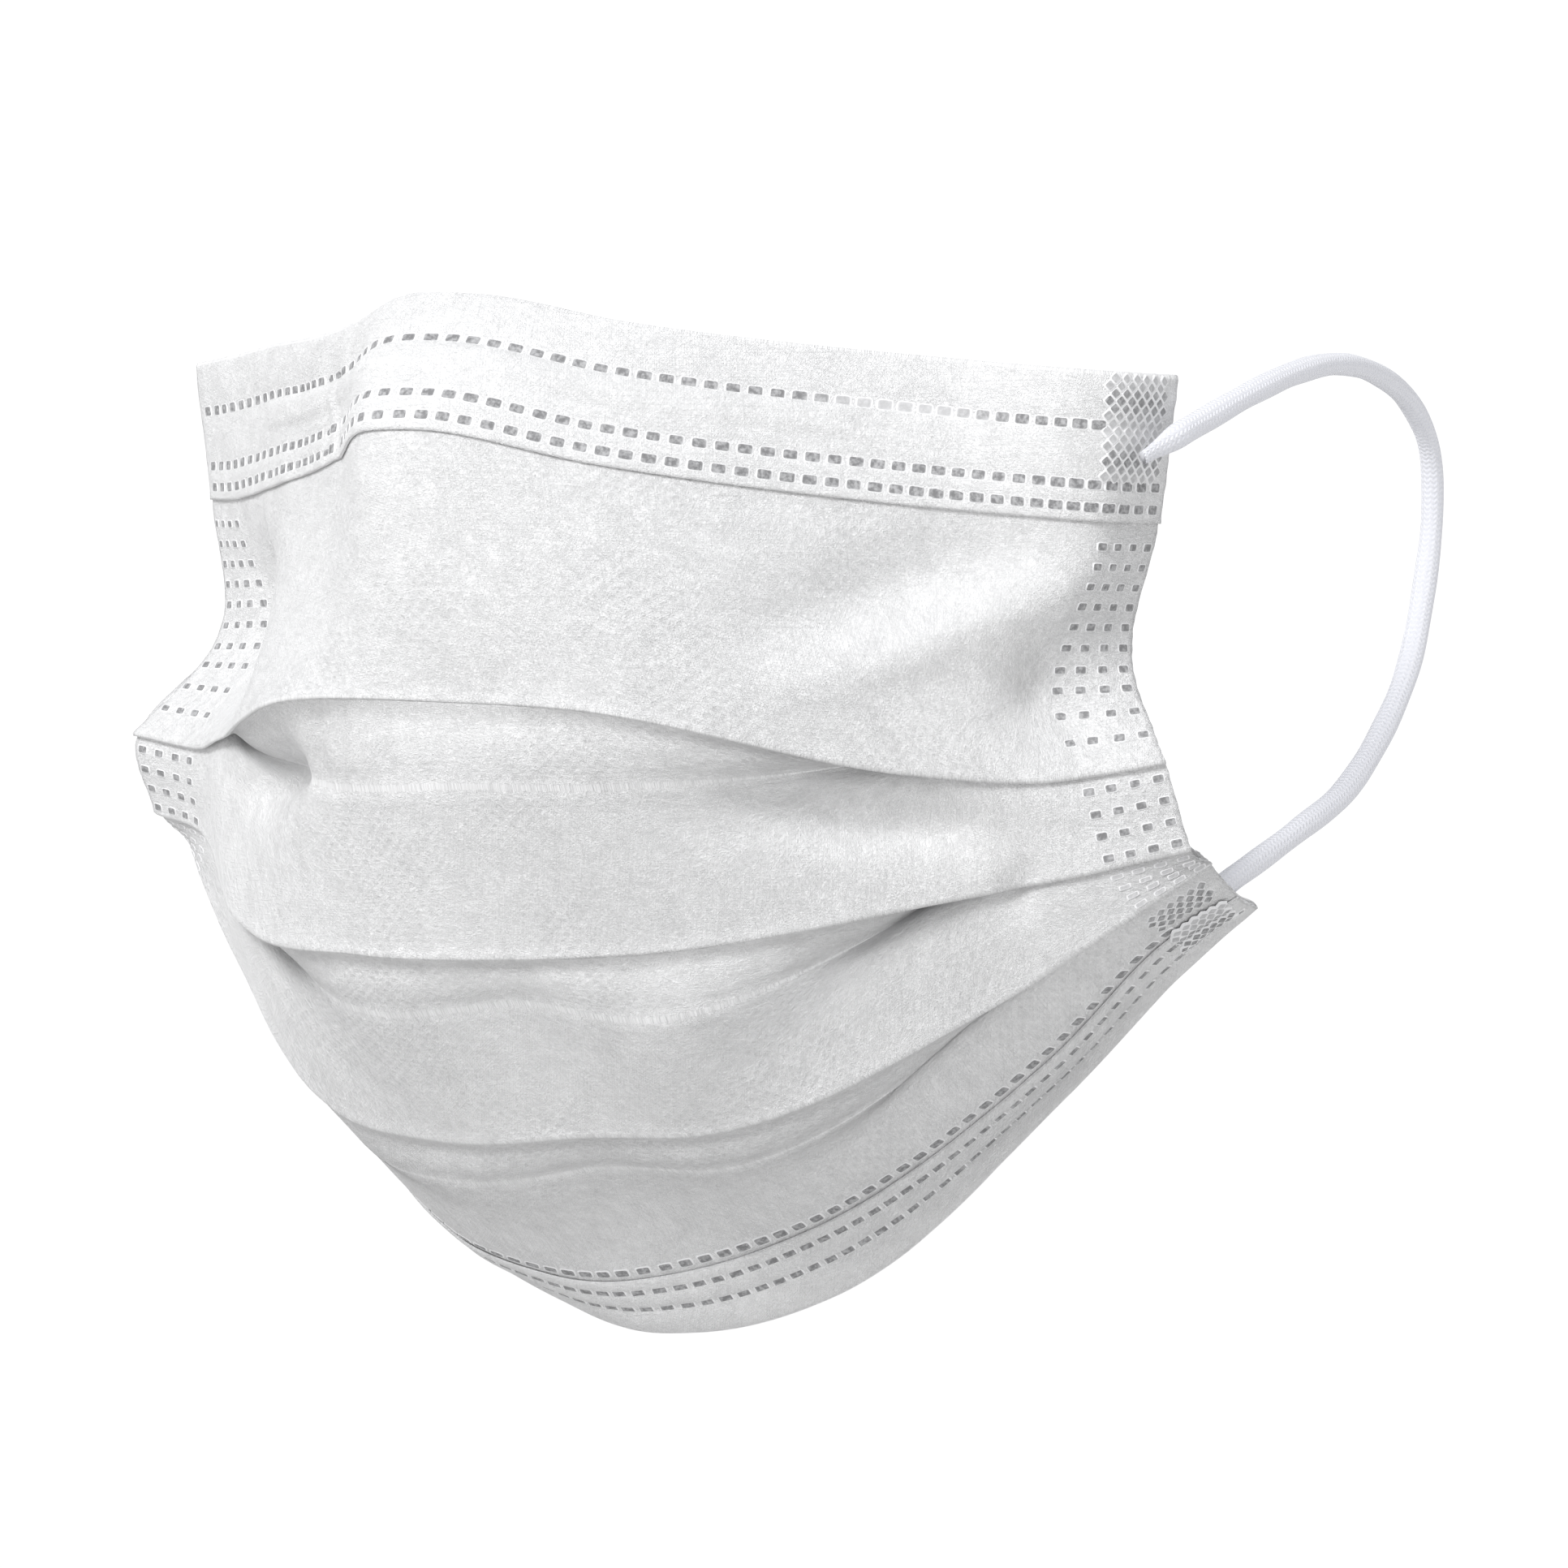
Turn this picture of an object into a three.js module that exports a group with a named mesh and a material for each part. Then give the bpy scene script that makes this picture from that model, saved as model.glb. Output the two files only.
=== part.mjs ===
// A disposable three-ply pleated face mask, in the shape it takes when it is worn: three pleats
// opened over the nose and chin and closed at the side welds, a hem folded over each long edge,
// a flat wire inside the upper hem, and an elastic ear loop at each side.
//
// Millimetres, +Z up, the front of the mask towards -Y. The origin is the middle of the upper
// edge on the bridge of the nose, so everything else hangs below it.
//
// The cloth is described by its own flat coordinates: s runs across it from the left edge to the
// right edge, and t runs down it, over every pleat, from the upper edge to the lower edge.
import * as THREE from "three";

// Driving dimensions
const HALF_WIDTH = 87.5; // of the flat mask
const HEM = 19.1; // folded strip along the upper edge
const LOWER_HEM = 15; // folded strip along the lower edge
const PLEAT = 11.5; // depth of each of the three pleats
const CLOTH_HEIGHT = 164; // top to bottom with the pleats pulled out
const BAND = 10.5; // width of the welded band down each side
const WALL = 1; // cloth thickness
const GAP = 0.3; // between pieces, and between the layers of a closed pleat
const LAYER = WALL + GAP + 0.05; // from one layer of a closed pleat to the next
const HEM_LIFT = WALL + 2 * GAP; // from the middle of the cloth to the middle of a hem's wall
const WIRE = { length: 100, width: 3.6, thickness: 0.9, top: 7.4 }; // top is its distance from the edge
const LOOP_DIAMETER = 3;

// Where the cloth is measured between its side bands: flat coordinate s, and distance x from the nose
const STATIONS = {
  leftCheek: { s: -61, x: -44.5 },
  leftCorner: { s: -27, x: -18.5 },
  noseSide: { s: -14.5, x: -7 },
  nose: { s: -8, x: 0 },
  rightCorner: { s: 12, x: 19.5 },
  rightCheek: { s: 52, x: 54 },
};

// The lines that shape the cloth, from the upper edge down. left and right are points on the side
// edges, leftBand and rightBand points on the inner edges of the side bands, and the stations
// between them give depth y and height z.
const LINES = {
  upperEdge: {
    t: 0,
    left: [-65, 36.2, -8.8],
    leftBand: [-56.9, 30.4, -8],
    leftCheek: [21.4, -6.5],
    leftCorner: [3, -3.2],
    noseSide: [-1.5, 0.3],
    nose: [0, 0.2],
    rightCorner: [4, -3.2],
    rightCheek: [22, -7.6],
    rightBand: [76.3, 25.5, -9.3],
    right: [79.5, 35.5, -9.8],
  },
  hemEdge: {
    t: HEM,
    left: [-63.1, 36.5, -26.6],
    leftBand: [-55.4, 30.1, -26.4],
    leftCheek: [20.6, -25],
    leftCorner: [-0.5, -19.8],
    noseSide: [-12.4, -16.6],
    nose: [-13, -16.4],
    rightCorner: [-5, -20.4],
    rightCheek: [18, -25.8],
    rightBand: [75.2, 24.7, -27.4],
    right: [77, 35, -27.8],
  },
  bandKink: {
    t: 39.5,
    left: [-62, 33.6, -46.2],
    leftBand: [-52.5, 29.2, -45.8],
    leftCheek: [14.9, -45.5],
    leftCorner: [-5, -39.5],
    noseSide: [-11.6, -38.6],
    nose: [-13.2, -38.3],
    rightCorner: [-8.5, -39.6],
    rightCheek: [14, -46.4],
    rightBand: [70.4, 23.5, -46],
    right: [75.3, 32.8, -46],
  },
  lip1: {
    t: 50.5,
    left: [-69.3, 26.6, -57],
    leftBand: [-59, 24.6, -58.3],
    leftCheek: [7.9, -56],
    leftCorner: [-10, -49.5],
    noseSide: [-11, -49.2],
    nose: [-10.5, -49.3],
    rightCorner: [-8, -50],
    rightCheek: [15, -58.1],
    rightBand: [72.7, 23.4, -58.4],
    right: [81.8, 28.6, -56.5],
  },
  valley1: {
    t: 62,
    leftCheek: [13.4, -54],
    leftCorner: [-4.4, -60.9],
    noseSide: [-8.4, -60.7],
    nose: [-9.2, -60.2],
    rightCorner: [-4.8, -60],
    rightCheek: [18.5, -55],
  },
  lip2: {
    t: 85,
    left: [-69, 31, -67.5],
    leftBand: [-59.3, 27.1, -69.5],
    leftCheek: [12.9, -78.5],
    leftCorner: [2, -82],
    noseSide: [1.4, -82.1],
    nose: [2, -81.9],
    rightCorner: [7, -80.9],
    rightCheek: [22, -74.2],
    rightBand: [74.4, 26.8, -69.7],
    right: [83.5, 32, -67.3],
  },
  valley2: {
    t: 96.5,
    leftCheek: [17.5, -76],
    leftCorner: [7, -90.3],
    noseSide: [6.6, -89.2],
    nose: [6.8, -88],
    rightCorner: [9, -89.8],
    rightCheek: [28, -72],
  },
  lip3: {
    t: 119.5,
    left: [-68, 37, -70.5],
    leftBand: [-61.5, 30.5, -75.5],
    leftCheek: [22.9, -96],
    leftCorner: [21.5, -107.3],
    noseSide: [21.3, -106.9],
    nose: [21.5, -106],
    rightCorner: [24, -104.6],
    rightCheek: [32, -88.8],
    rightBand: [77, 30.3, -75],
    right: [84.2, 36, -69.2],
  },
  valley3: {
    t: 131,
    leftCheek: [27.9, -98],
    leftCorner: [27, -113.6],
    noseSide: [26.8, -112.3],
    nose: [27, -110.8],
    rightCorner: [29, -110],
    rightCheek: [36, -88],
  },
  lowerHemEdge: {
    t: CLOTH_HEIGHT - LOWER_HEM,
    left: [-66.6, 42, -74.8],
    leftBand: [-61.2, 37.5, -80.5],
    leftCheek: [38.4, -105],
    leftCorner: [43, -125.2],
    noseSide: [44.5, -125.5],
    nose: [45.5, -124.2],
    rightCorner: [47, -118],
    rightCheek: [47, -94.8],
    rightBand: [77.5, 38, -77.2],
    right: [84.2, 41.4, -72.8],
  },
  lowerEdge: {
    t: CLOTH_HEIGHT,
    left: [-64, 53, -78.5],
    leftBand: [-59, 49, -85],
    leftCheek: [49.5, -109],
    leftCorner: [55, -132.2],
    noseSide: [54.3, -134.8],
    nose: [55, -134.5],
    rightCorner: [56, -128.8],
    rightCheek: [55, -101],
    rightBand: [75, 50.7, -82],
    right: [81.5, 53.6, -75.8],
  },
};

// How the cloth runs over those lines. Each stretch is one face of a pleat. behind counts the
// layers of cloth in front of it, first where the pleats stand open and then where they are shut.
const STRETCHES = [
  [
    { line: "upperEdge", behind: [0, 0] },
    { line: "hemEdge", behind: [0, 0] },
    { line: "bandKink", behind: [0, 0] },
    { line: "lip1", behind: [0, 0] },
  ],
  [
    { line: "lip1", behind: [1, 1] },
    { line: "valley1", behind: [1, 1] },
  ],
  [
    { line: "valley1", behind: [2, 2] },
    { line: "step1", behind: [1, 2] },
    { line: "lip2", behind: [0, 0] },
  ],
  [
    { line: "lip2", behind: [1, 1] },
    { line: "valley2", behind: [1, 3] },
  ],
  [
    { line: "valley2", behind: [2, 4] },
    { line: "step2", behind: [1, 2] },
    { line: "lip3", behind: [0, 0] },
  ],
  [
    { line: "lip3", behind: [1, 1] },
    { line: "valley3", behind: [1, 3] },
  ],
  [
    { line: "valley3", behind: [2, 4] },
    { line: "step3", behind: [1, 2] },
    { line: "lowerHemEdge", behind: [0, 0] },
    { line: "lowerEdge", behind: [0, 0] },
  ],
];

// At the sides a shut pleat's hidden lines lie behind the visible line this far down the band
const SHUT_BEHIND = {
  valley1: "bandKink",
  step1: "lip1",
  valley2: "lip1",
  step2: "lip2",
  valley3: "lip2",
  step3: "lip3",
};

// Halfway lines on the cloth below each pleat, where the lip above it ends when the pleat is shut
const STEPS = {
  step1: ["valley1", "lip2"],
  step2: ["valley2", "lip3"],
  step3: ["valley3", "lowerHemEdge"],
};

// Routes of the ear loops, from the upper corner round the ear to the lower corner
const RIGHT_LOOP = [
  [80.2, 25.2, -19.6],
  [82, 30, -17.2],
  [82.8, 36.5, -15.1],
  [83.8, 46, -12.2],
  [84, 59, -9.5],
  [83.9, 70, -8.5],
  [83.5, 81.5, -9.5],
  [82.7, 94, -13.3],
  [82.2, 101.5, -19.5],
  [82, 103, -27.5],
  [82, 101, -36.5],
  [82.3, 95.5, -47.5],
  [82.7, 87, -55.5],
  [83, 75, -62.8],
  [82.3, 63.5, -67],
  [80.5, 54, -70.8],
  [78.4, 46.6, -73.2],
];
const LEFT_LOOP = [
  [-58, 37.4, -19.4],
  [-62.6, 40.9, -17.9],
  [-66.8, 45, -15.2],
  [-70.2, 51, -12],
  [-71.8, 60, -9.8],
  [-71.8, 70, -8.7],
  [-71.2, 81.5, -9.7],
  [-70.2, 94, -13.5],
  [-69.4, 101.5, -19.7],
  [-69, 103, -27.7],
  [-68.8, 101, -36.7],
  [-68.6, 95.5, -47.7],
  [-68.3, 87, -56],
  [-67.8, 75, -63.6],
  [-66.4, 63.5, -68.4],
  [-64, 54.5, -72.4],
  [-61.4, 46.4, -75.4],
];

const clothMaterial = (color, roughness) =>
  new THREE.MeshStandardMaterial({ color, roughness, metalness: 0, side: THREE.DoubleSide });

// A smooth curve through points at uneven positions, with slopes taken from both neighbours
function curveThrough(positions, points) {
  const slopeBetween = (i) =>
    points[i + 1].clone().sub(points[i]).divideScalar(positions[i + 1] - positions[i]);
  const last = points.length - 1;
  const slopes = points.map((point, i) => {
    if (i === 0) return slopeBetween(0);
    if (i === last) return slopeBetween(last - 1);
    const before = positions[i] - positions[i - 1];
    const after = positions[i + 1] - positions[i];
    return slopeBetween(i - 1)
      .multiplyScalar(after)
      .addScaledVector(slopeBetween(i), before)
      .divideScalar(before + after);
  });
  return (position) => {
    let i = 0;
    while (i < last - 1 && position > positions[i + 1]) i += 1;
    const span = positions[i + 1] - positions[i];
    const u = THREE.MathUtils.clamp((position - positions[i]) / span, 0, 1);
    return new THREE.Vector3()
      .addScaledVector(points[i], 2 * u ** 3 - 3 * u ** 2 + 1)
      .addScaledVector(slopes[i], (u ** 3 - 2 * u ** 2 + u) * span)
      .addScaledVector(points[i + 1], 3 * u ** 2 - 2 * u ** 3)
      .addScaledVector(slopes[i + 1], (u ** 3 - u ** 2) * span);
  };
}

// A shaping line as a curve of s
function lineCurve(name) {
  if (STEPS[name]) return stepCurve(name);
  const sides = LINES[SHUT_BEHIND[name] ?? name];
  const inner = Object.entries(STATIONS).map(([station, { s, x }]) => ({
    s,
    at: [x, ...LINES[name][station]],
  }));
  const stops = [
    { s: -HALF_WIDTH, at: sides.left },
    { s: BAND - HALF_WIDTH, at: sides.leftBand },
    ...inner,
    { s: HALF_WIDTH - BAND, at: sides.rightBand },
    { s: HALF_WIDTH, at: sides.right },
  ];
  return curveThrough(
    stops.map((stop) => stop.s),
    stops.map((stop) => new THREE.Vector3(...stop.at)),
  );
}

// How far the pleats are shut at s: 0 between the corners by the nose, 1 in the side bands
function shutAt(s) {
  const corner = s < 0 ? -STATIONS.leftCorner.s : STATIONS.rightCorner.s;
  return THREE.MathUtils.smoothstep(Math.abs(s), corner, HALF_WIDTH - BAND);
}

// A halfway line: between its neighbours where the pleat is open, behind the lip where it is shut
function stepCurve(name) {
  const [above, below] = STEPS[name].map(lineCurve);
  const lip = lineCurve(SHUT_BEHIND[name]);
  return (s) => above(s).add(below(s)).multiplyScalar(0.5).lerp(lip(s), shutAt(s));
}

// Where a line lies on the flat cloth
function lineT(name) {
  if (LINES[name]) return LINES[name].t;
  const [above, below] = STEPS[name];
  return name === "step3" ? LINES[above].t + PLEAT : (LINES[above].t + LINES[below].t) / 2;
}

// One stretch of cloth as a surface of s and t
function stretchSurface(stretch) {
  const curves = stretch.map(({ line }) => lineCurve(line));
  const stops = stretch.map(({ line }) => lineT(line));
  return (s, t) => {
    const shut = shutAt(s);
    const points = curves.map((curve, i) => {
      const along = curve(s + 0.5).sub(curve(s - 0.5));
      const inward = new THREE.Vector3(-along.y, along.x, 0).normalize();
      const [open, closed] = stretch[i].behind;
      return curve(s).addScaledVector(inward, LAYER * THREE.MathUtils.lerp(open, closed, shut));
    });
    return curveThrough(stops, points)(t);
  };
}

const SURFACES = STRETCHES.map(stretchSurface);

// The direction the cloth faces, away from the wearer
function facing(surface, s, t) {
  const down = surface(s, t + 0.5).sub(surface(s, t - 0.5));
  const across = surface(s + 0.5, t).sub(surface(s - 0.5, t));
  return down.cross(across).normalize();
}

// Evenly spaced values from first to last, no further apart than step
function spread(first, last, step) {
  const count = Math.max(1, Math.round(Math.abs(last - first) / step));
  return Array.from({ length: count + 1 }, (_, i) => first + ((last - first) * i) / count);
}

// Rows down one stretch of cloth from first to last: its own lines and even steps between them
function rowsDown(stretch, first, last) {
  const stops = stretch.map(({ line }) => lineT(line));
  const between = (t) => t > first + GAP && t < last - GAP;
  const rows = stops.slice(1).flatMap((stop, i) => spread(stops[i], stop, 5.5).slice(i ? 1 : 0));
  return [first, ...rows.filter(between), last];
}

// Places across the cloth, closest together where the pleats open
const ACROSS = [
  ...spread(-HALF_WIDTH, BAND - HALF_WIDTH, 3.5),
  ...spread(-70.5, -35, 7.1),
  ...spread(-30, 14, 4.4),
  ...spread(19, 70, 7.3),
  ...spread(HALF_WIDTH - BAND, HALF_WIDTH, 3.5),
];

// A closed wall of even thickness round a grid of middle points, grid[across][along]
function wall(grid, thickness) {
  const lastAcross = grid.length - 1;
  const lastAlong = grid[0].length - 1;
  const faceBetween = (i, from, to) => {
    const along = grid[i][to].clone().sub(grid[i][from]);
    const before = Math.max(i - 1, 0);
    const after = Math.min(i + 1, lastAcross);
    const across = grid[after][from].clone().sub(grid[before][from]);
    return along.cross(across).normalize();
  };
  const offsetAt = (i, j) => {
    const first = faceBetween(i, Math.max(j - 1, 0), Math.max(j, 1));
    const second = faceBetween(i, Math.min(j, lastAlong - 1), Math.min(j + 1, lastAlong));
    const mitre = thickness / 2 / (1 + Math.max(first.dot(second), -0.2));
    return first.add(second).multiplyScalar(mitre);
  };
  const positions = [];
  for (const side of [1, -1])
    grid.forEach((column, i) =>
      column.forEach((point, j) =>
        positions.push(...point.clone().addScaledVector(offsetAt(i, j), side)),
      ),
    );
  const front = (i, j) => i * (lastAlong + 1) + j;
  const back = (i, j) => front(i, j) + grid.length * (lastAlong + 1);
  const index = [];
  const quad = (a, b, c, d) => index.push(a, b, c, a, c, d);
  for (let i = 0; i < lastAcross; i += 1) {
    for (let j = 0; j < lastAlong; j += 1) {
      quad(front(i, j), front(i, j + 1), front(i + 1, j + 1), front(i + 1, j));
      quad(back(i + 1, j), back(i + 1, j + 1), back(i, j + 1), back(i, j));
    }
    quad(front(i, 0), front(i + 1, 0), back(i + 1, 0), back(i, 0));
    quad(front(i + 1, lastAlong), front(i, lastAlong), back(i, lastAlong), back(i + 1, lastAlong));
  }
  for (let j = 0; j < lastAlong; j += 1) {
    quad(front(0, j + 1), front(0, j), back(0, j), back(0, j + 1));
    quad(
      front(lastAcross, j),
      front(lastAcross, j + 1),
      back(lastAcross, j + 1),
      back(lastAcross, j),
    );
  }
  const geometry = new THREE.BufferGeometry();
  geometry.setAttribute("position", new THREE.Float32BufferAttribute(positions, 3));
  geometry.setIndex(index);
  geometry.computeVertexNormals();
  return geometry;
}

// The pleated body, from just below the wire to just inside the fold of the lower hem
function maskPanel() {
  const top = WIRE.top + WIRE.width + 4 * GAP;
  const bottom = CLOTH_HEIGHT - 2 * WALL - GAP;
  const grid = ACROSS.map((s) =>
    STRETCHES.flatMap((stretch, i) => {
      const first = Math.max(lineT(stretch[0].line), top);
      const last = Math.min(lineT(stretch.at(-1).line), bottom);
      return rowsDown(stretch, first, last).map((t) => SURFACES[i](s, t));
    }),
  );
  return new THREE.Mesh(wall(grid, WALL), clothMaterial(0xf2f3f5, 0.9));
}

// A hem: one strip folded over an edge of the cloth, so it covers both faces down to its own edge
function foldedHem(index, first, last, isLower) {
  const rows = rowsDown(STRETCHES[index], first, last);
  const outward = isLower ? rows : rows.toReversed();
  const path = [
    ...outward.map((t) => ({ t, side: 1 })),
    ...outward.toReversed().map((t) => ({ t, side: -1 })),
  ];
  const surface = SURFACES[index];
  const grid = ACROSS.map((s) =>
    path.map(({ t, side }) =>
      surface(s, t).addScaledVector(facing(surface, s, t), side * HEM_LIFT),
    ),
  );
  return new THREE.Mesh(wall(grid, WALL), clothMaterial(0xf6f7f8, 0.85));
}

function topHem() {
  return foldedHem(0, WALL / 2, HEM, false);
}

function bottomHem() {
  const last = STRETCHES.length - 1;
  return foldedHem(last, CLOTH_HEIGHT - LOWER_HEM, CLOTH_HEIGHT - WALL / 2, true);
}

// A flat strip inside the upper hem, bent over the bridge of the nose
function noseWire() {
  const middle = STATIONS.nose.s;
  const across = spread(middle - WIRE.length / 2, middle + WIRE.length / 2, 5);
  const grid = across.map((s) =>
    spread(WIRE.top, WIRE.top + WIRE.width, 2).map((t) => SURFACES[0](s, t)),
  );
  const material = new THREE.MeshStandardMaterial({
    color: 0xd8dadc,
    roughness: 0.5,
    metalness: 0.2,
    side: THREE.DoubleSide,
  });
  return new THREE.Mesh(wall(grid, WIRE.thickness), material);
}

// A round elastic cord along its route
function earLoop(route) {
  const sides = 8;
  const outline = spread(0, 2 * Math.PI, (2 * Math.PI) / sides)
    .slice(0, sides)
    .map((a) => new THREE.Vector2(Math.cos(a), Math.sin(a)).multiplyScalar(LOOP_DIAMETER / 2));
  const path = new THREE.CatmullRomCurve3(route.map((point) => new THREE.Vector3(...point)));
  const geometry = new THREE.ExtrudeGeometry(new THREE.Shape(outline), {
    steps: 44,
    extrudePath: path,
  });
  return new THREE.Mesh(geometry, clothMaterial(0xe6e6ec, 0.8));
}

const faceMask = new THREE.Group();
const pieces = {
  mask_panel: maskPanel(),
  top_hem: topHem(),
  bottom_hem: bottomHem(),
  nose_wire: noseWire(),
  ear_loop_right: earLoop(RIGHT_LOOP),
  ear_loop_left: earLoop(LEFT_LOOP),
};
for (const [name, mesh] of Object.entries(pieces)) {
  mesh.name = name;
  faceMask.add(mesh);
}

export default faceMask;
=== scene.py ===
"""A disposable pleated face mask in its worn shape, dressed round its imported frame.

Lengths are in millimetres until a mesh is made, where they become metres. The cloth has flat
coordinates of its own: s runs across it from the left edge to the right edge, and t runs down it,
over every pleat, from the upper edge to the lower edge.
"""

from __future__ import annotations

import logging
import math
from collections.abc import Callable
from dataclasses import dataclass, field, fields
from enum import Enum

import bpy
import numpy as np
from mathutils import Matrix, Vector


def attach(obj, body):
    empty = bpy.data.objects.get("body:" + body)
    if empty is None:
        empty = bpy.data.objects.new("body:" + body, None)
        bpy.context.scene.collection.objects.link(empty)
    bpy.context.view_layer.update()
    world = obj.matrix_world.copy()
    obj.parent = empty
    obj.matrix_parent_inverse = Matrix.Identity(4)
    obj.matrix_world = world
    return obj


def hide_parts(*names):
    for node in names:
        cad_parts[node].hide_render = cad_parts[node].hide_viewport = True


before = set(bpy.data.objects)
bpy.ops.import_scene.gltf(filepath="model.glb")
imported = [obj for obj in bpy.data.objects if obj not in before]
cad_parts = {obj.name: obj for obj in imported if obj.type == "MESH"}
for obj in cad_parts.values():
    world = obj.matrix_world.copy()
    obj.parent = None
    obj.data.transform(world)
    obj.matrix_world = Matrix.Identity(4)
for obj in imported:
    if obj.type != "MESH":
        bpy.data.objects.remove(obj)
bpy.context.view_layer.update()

LOG = logging.getLogger("mask")
MM = 0.001
TILE = 200.0  # millimetres of cloth in one unit of its UV map
PITCH = 2.8  # from one weld mark to the next on the pleated cloth

Placer = Callable[[np.ndarray, np.ndarray], np.ndarray]  # finished places from s and t


class Fold(Enum):
    """The lines that shape the cloth, from the upper edge down."""

    UPPER_EDGE = "upper edge"
    HEM_EDGE = "hem edge"
    BAND_KINK = "band kink"
    LIP_1 = "first lip"
    VALLEY_1 = "first valley"
    STEP_1 = "first step"
    LIP_2 = "second lip"
    VALLEY_2 = "second valley"
    STEP_2 = "second step"
    LIP_3 = "third lip"
    VALLEY_3 = "third valley"
    STEP_3 = "third step"
    LOWER_HEM_EDGE = "lower hem edge"
    LOWER_EDGE = "lower edge"


class Side(Enum):
    """The two sides of the mask, with the sign of s and x there."""

    LEFT = -1
    RIGHT = 1


class Slot(Enum):
    """The material slots of the pieces that show."""

    CLOTH = "mask_cloth"
    HEM = "hem_cloth"
    ELASTIC = "elastic"


# Where the cloth is measured between its side bands: s, and distance x from the nose
STATIONS = (
    (-61.0, -44.5),
    (-27.0, -18.5),
    (-14.5, -7.0),
    (-8.0, 0.0),
    (12.0, 19.5),
    (52.0, 54.0),
)
CORNERS = (27.0, 12.0)  # how far from the middle the pleats start to shut, left and right


@dataclass(frozen=True)
class Line:
    """One shaping line across the cloth: depth y and height z at the stations, ends as points."""

    t: float
    stations: tuple[tuple[float, float], ...]
    left: tuple[float, float, float] | None = None
    left_band: tuple[float, float, float] | None = None
    right_band: tuple[float, float, float] | None = None
    right: tuple[float, float, float] | None = None


LINES = {
    Fold.UPPER_EDGE: Line(
        t=0,
        left=(-65, 36.2, -8.8),
        left_band=(-56.9, 30.4, -8),
        stations=(
            (21.4, -6.5), (3, -3.2), (-1.5, 0.3),
            (0, 0.2), (4, -3.2), (22, -7.6),
        ),
        right_band=(76.3, 25.5, -9.3),
        right=(79.5, 35.5, -9.8),
    ),
    Fold.HEM_EDGE: Line(
        t=19.1,
        left=(-63.1, 36.5, -26.6),
        left_band=(-55.4, 30.1, -26.4),
        stations=(
            (20.6, -25), (-0.5, -19.8), (-12.4, -16.6),
            (-13, -16.4), (-5, -20.4), (18, -25.8),
        ),
        right_band=(75.2, 24.7, -27.4),
        right=(77, 35, -27.8),
    ),
    Fold.BAND_KINK: Line(
        t=39.5,
        left=(-62, 33.6, -46.2),
        left_band=(-52.5, 29.2, -45.8),
        stations=(
            (14.9, -45.5), (-5, -39.5), (-11.6, -38.6),
            (-13.2, -38.3), (-8.5, -39.6), (14, -46.4),
        ),
        right_band=(70.4, 23.5, -46),
        right=(75.3, 32.8, -46),
    ),
    Fold.LIP_1: Line(
        t=50.5,
        left=(-69.3, 26.6, -57),
        left_band=(-59, 24.6, -58.3),
        stations=(
            (7.9, -56), (-10, -49.5), (-11, -49.2),
            (-10.5, -49.3), (-8, -50), (15, -58.1),
        ),
        right_band=(72.7, 23.4, -58.4),
        right=(81.8, 28.6, -56.5),
    ),
    Fold.VALLEY_1: Line(
        t=62,
        stations=(
            (13.4, -54), (-4.4, -60.9), (-8.4, -60.7),
            (-9.2, -60.2), (-4.8, -60), (18.5, -55),
        ),
    ),
    Fold.LIP_2: Line(
        t=85,
        left=(-69, 31, -67.5),
        left_band=(-59.3, 27.1, -69.5),
        stations=(
            (12.9, -78.5), (2, -82), (1.4, -82.1),
            (2, -81.9), (7, -80.9), (22, -74.2),
        ),
        right_band=(74.4, 26.8, -69.7),
        right=(83.5, 32, -67.3),
    ),
    Fold.VALLEY_2: Line(
        t=96.5,
        stations=(
            (17.5, -76), (7, -90.3), (6.6, -89.2),
            (6.8, -88), (9, -89.8), (28, -72),
        ),
    ),
    Fold.LIP_3: Line(
        t=119.5,
        left=(-68, 37, -70.5),
        left_band=(-61.5, 30.5, -75.5),
        stations=(
            (22.9, -96), (21.5, -107.3), (21.3, -106.9),
            (21.5, -106), (24, -104.6), (32, -88.8),
        ),
        right_band=(77, 30.3, -75),
        right=(84.2, 36, -69.2),
    ),
    Fold.VALLEY_3: Line(
        t=131,
        stations=(
            (27.9, -98), (27, -113.6), (26.8, -112.3),
            (27, -110.8), (29, -110), (36, -88),
        ),
    ),
    Fold.LOWER_HEM_EDGE: Line(
        t=149,
        left=(-66.6, 42, -74.8),
        left_band=(-61.2, 37.5, -80.5),
        stations=(
            (38.4, -105), (43, -125.2), (44.5, -125.5),
            (45.5, -124.2), (47, -118), (47, -94.8),
        ),
        right_band=(77.5, 38, -77.2),
        right=(84.2, 41.4, -72.8),
    ),
    Fold.LOWER_EDGE: Line(
        t=164,
        left=(-64, 53, -78.5),
        left_band=(-59, 49, -85),
        stations=(
            (49.5, -109), (55, -132.2), (54.3, -134.8),
            (55, -134.5), (56, -128.8), (55, -101),
        ),
        right_band=(75, 50.7, -82),
        right=(81.5, 53.6, -75.8),
    ),
}

# At the sides a shut pleat's hidden lines lie behind the visible line this far down the band
SHUT_BEHIND = {
    Fold.VALLEY_1: Fold.BAND_KINK,
    Fold.STEP_1: Fold.LIP_1,
    Fold.VALLEY_2: Fold.LIP_1,
    Fold.STEP_2: Fold.LIP_2,
    Fold.VALLEY_3: Fold.LIP_2,
    Fold.STEP_3: Fold.LIP_3,
}

# Halfway lines below each pleat: the lines above and below them, and their place t
STEPS = {
    Fold.STEP_1: (Fold.VALLEY_1, Fold.LIP_2, 73.5),
    Fold.STEP_2: (Fold.VALLEY_2, Fold.LIP_3, 108.0),
    Fold.STEP_3: (Fold.VALLEY_3, Fold.LOWER_HEM_EDGE, 142.5),
}

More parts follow.
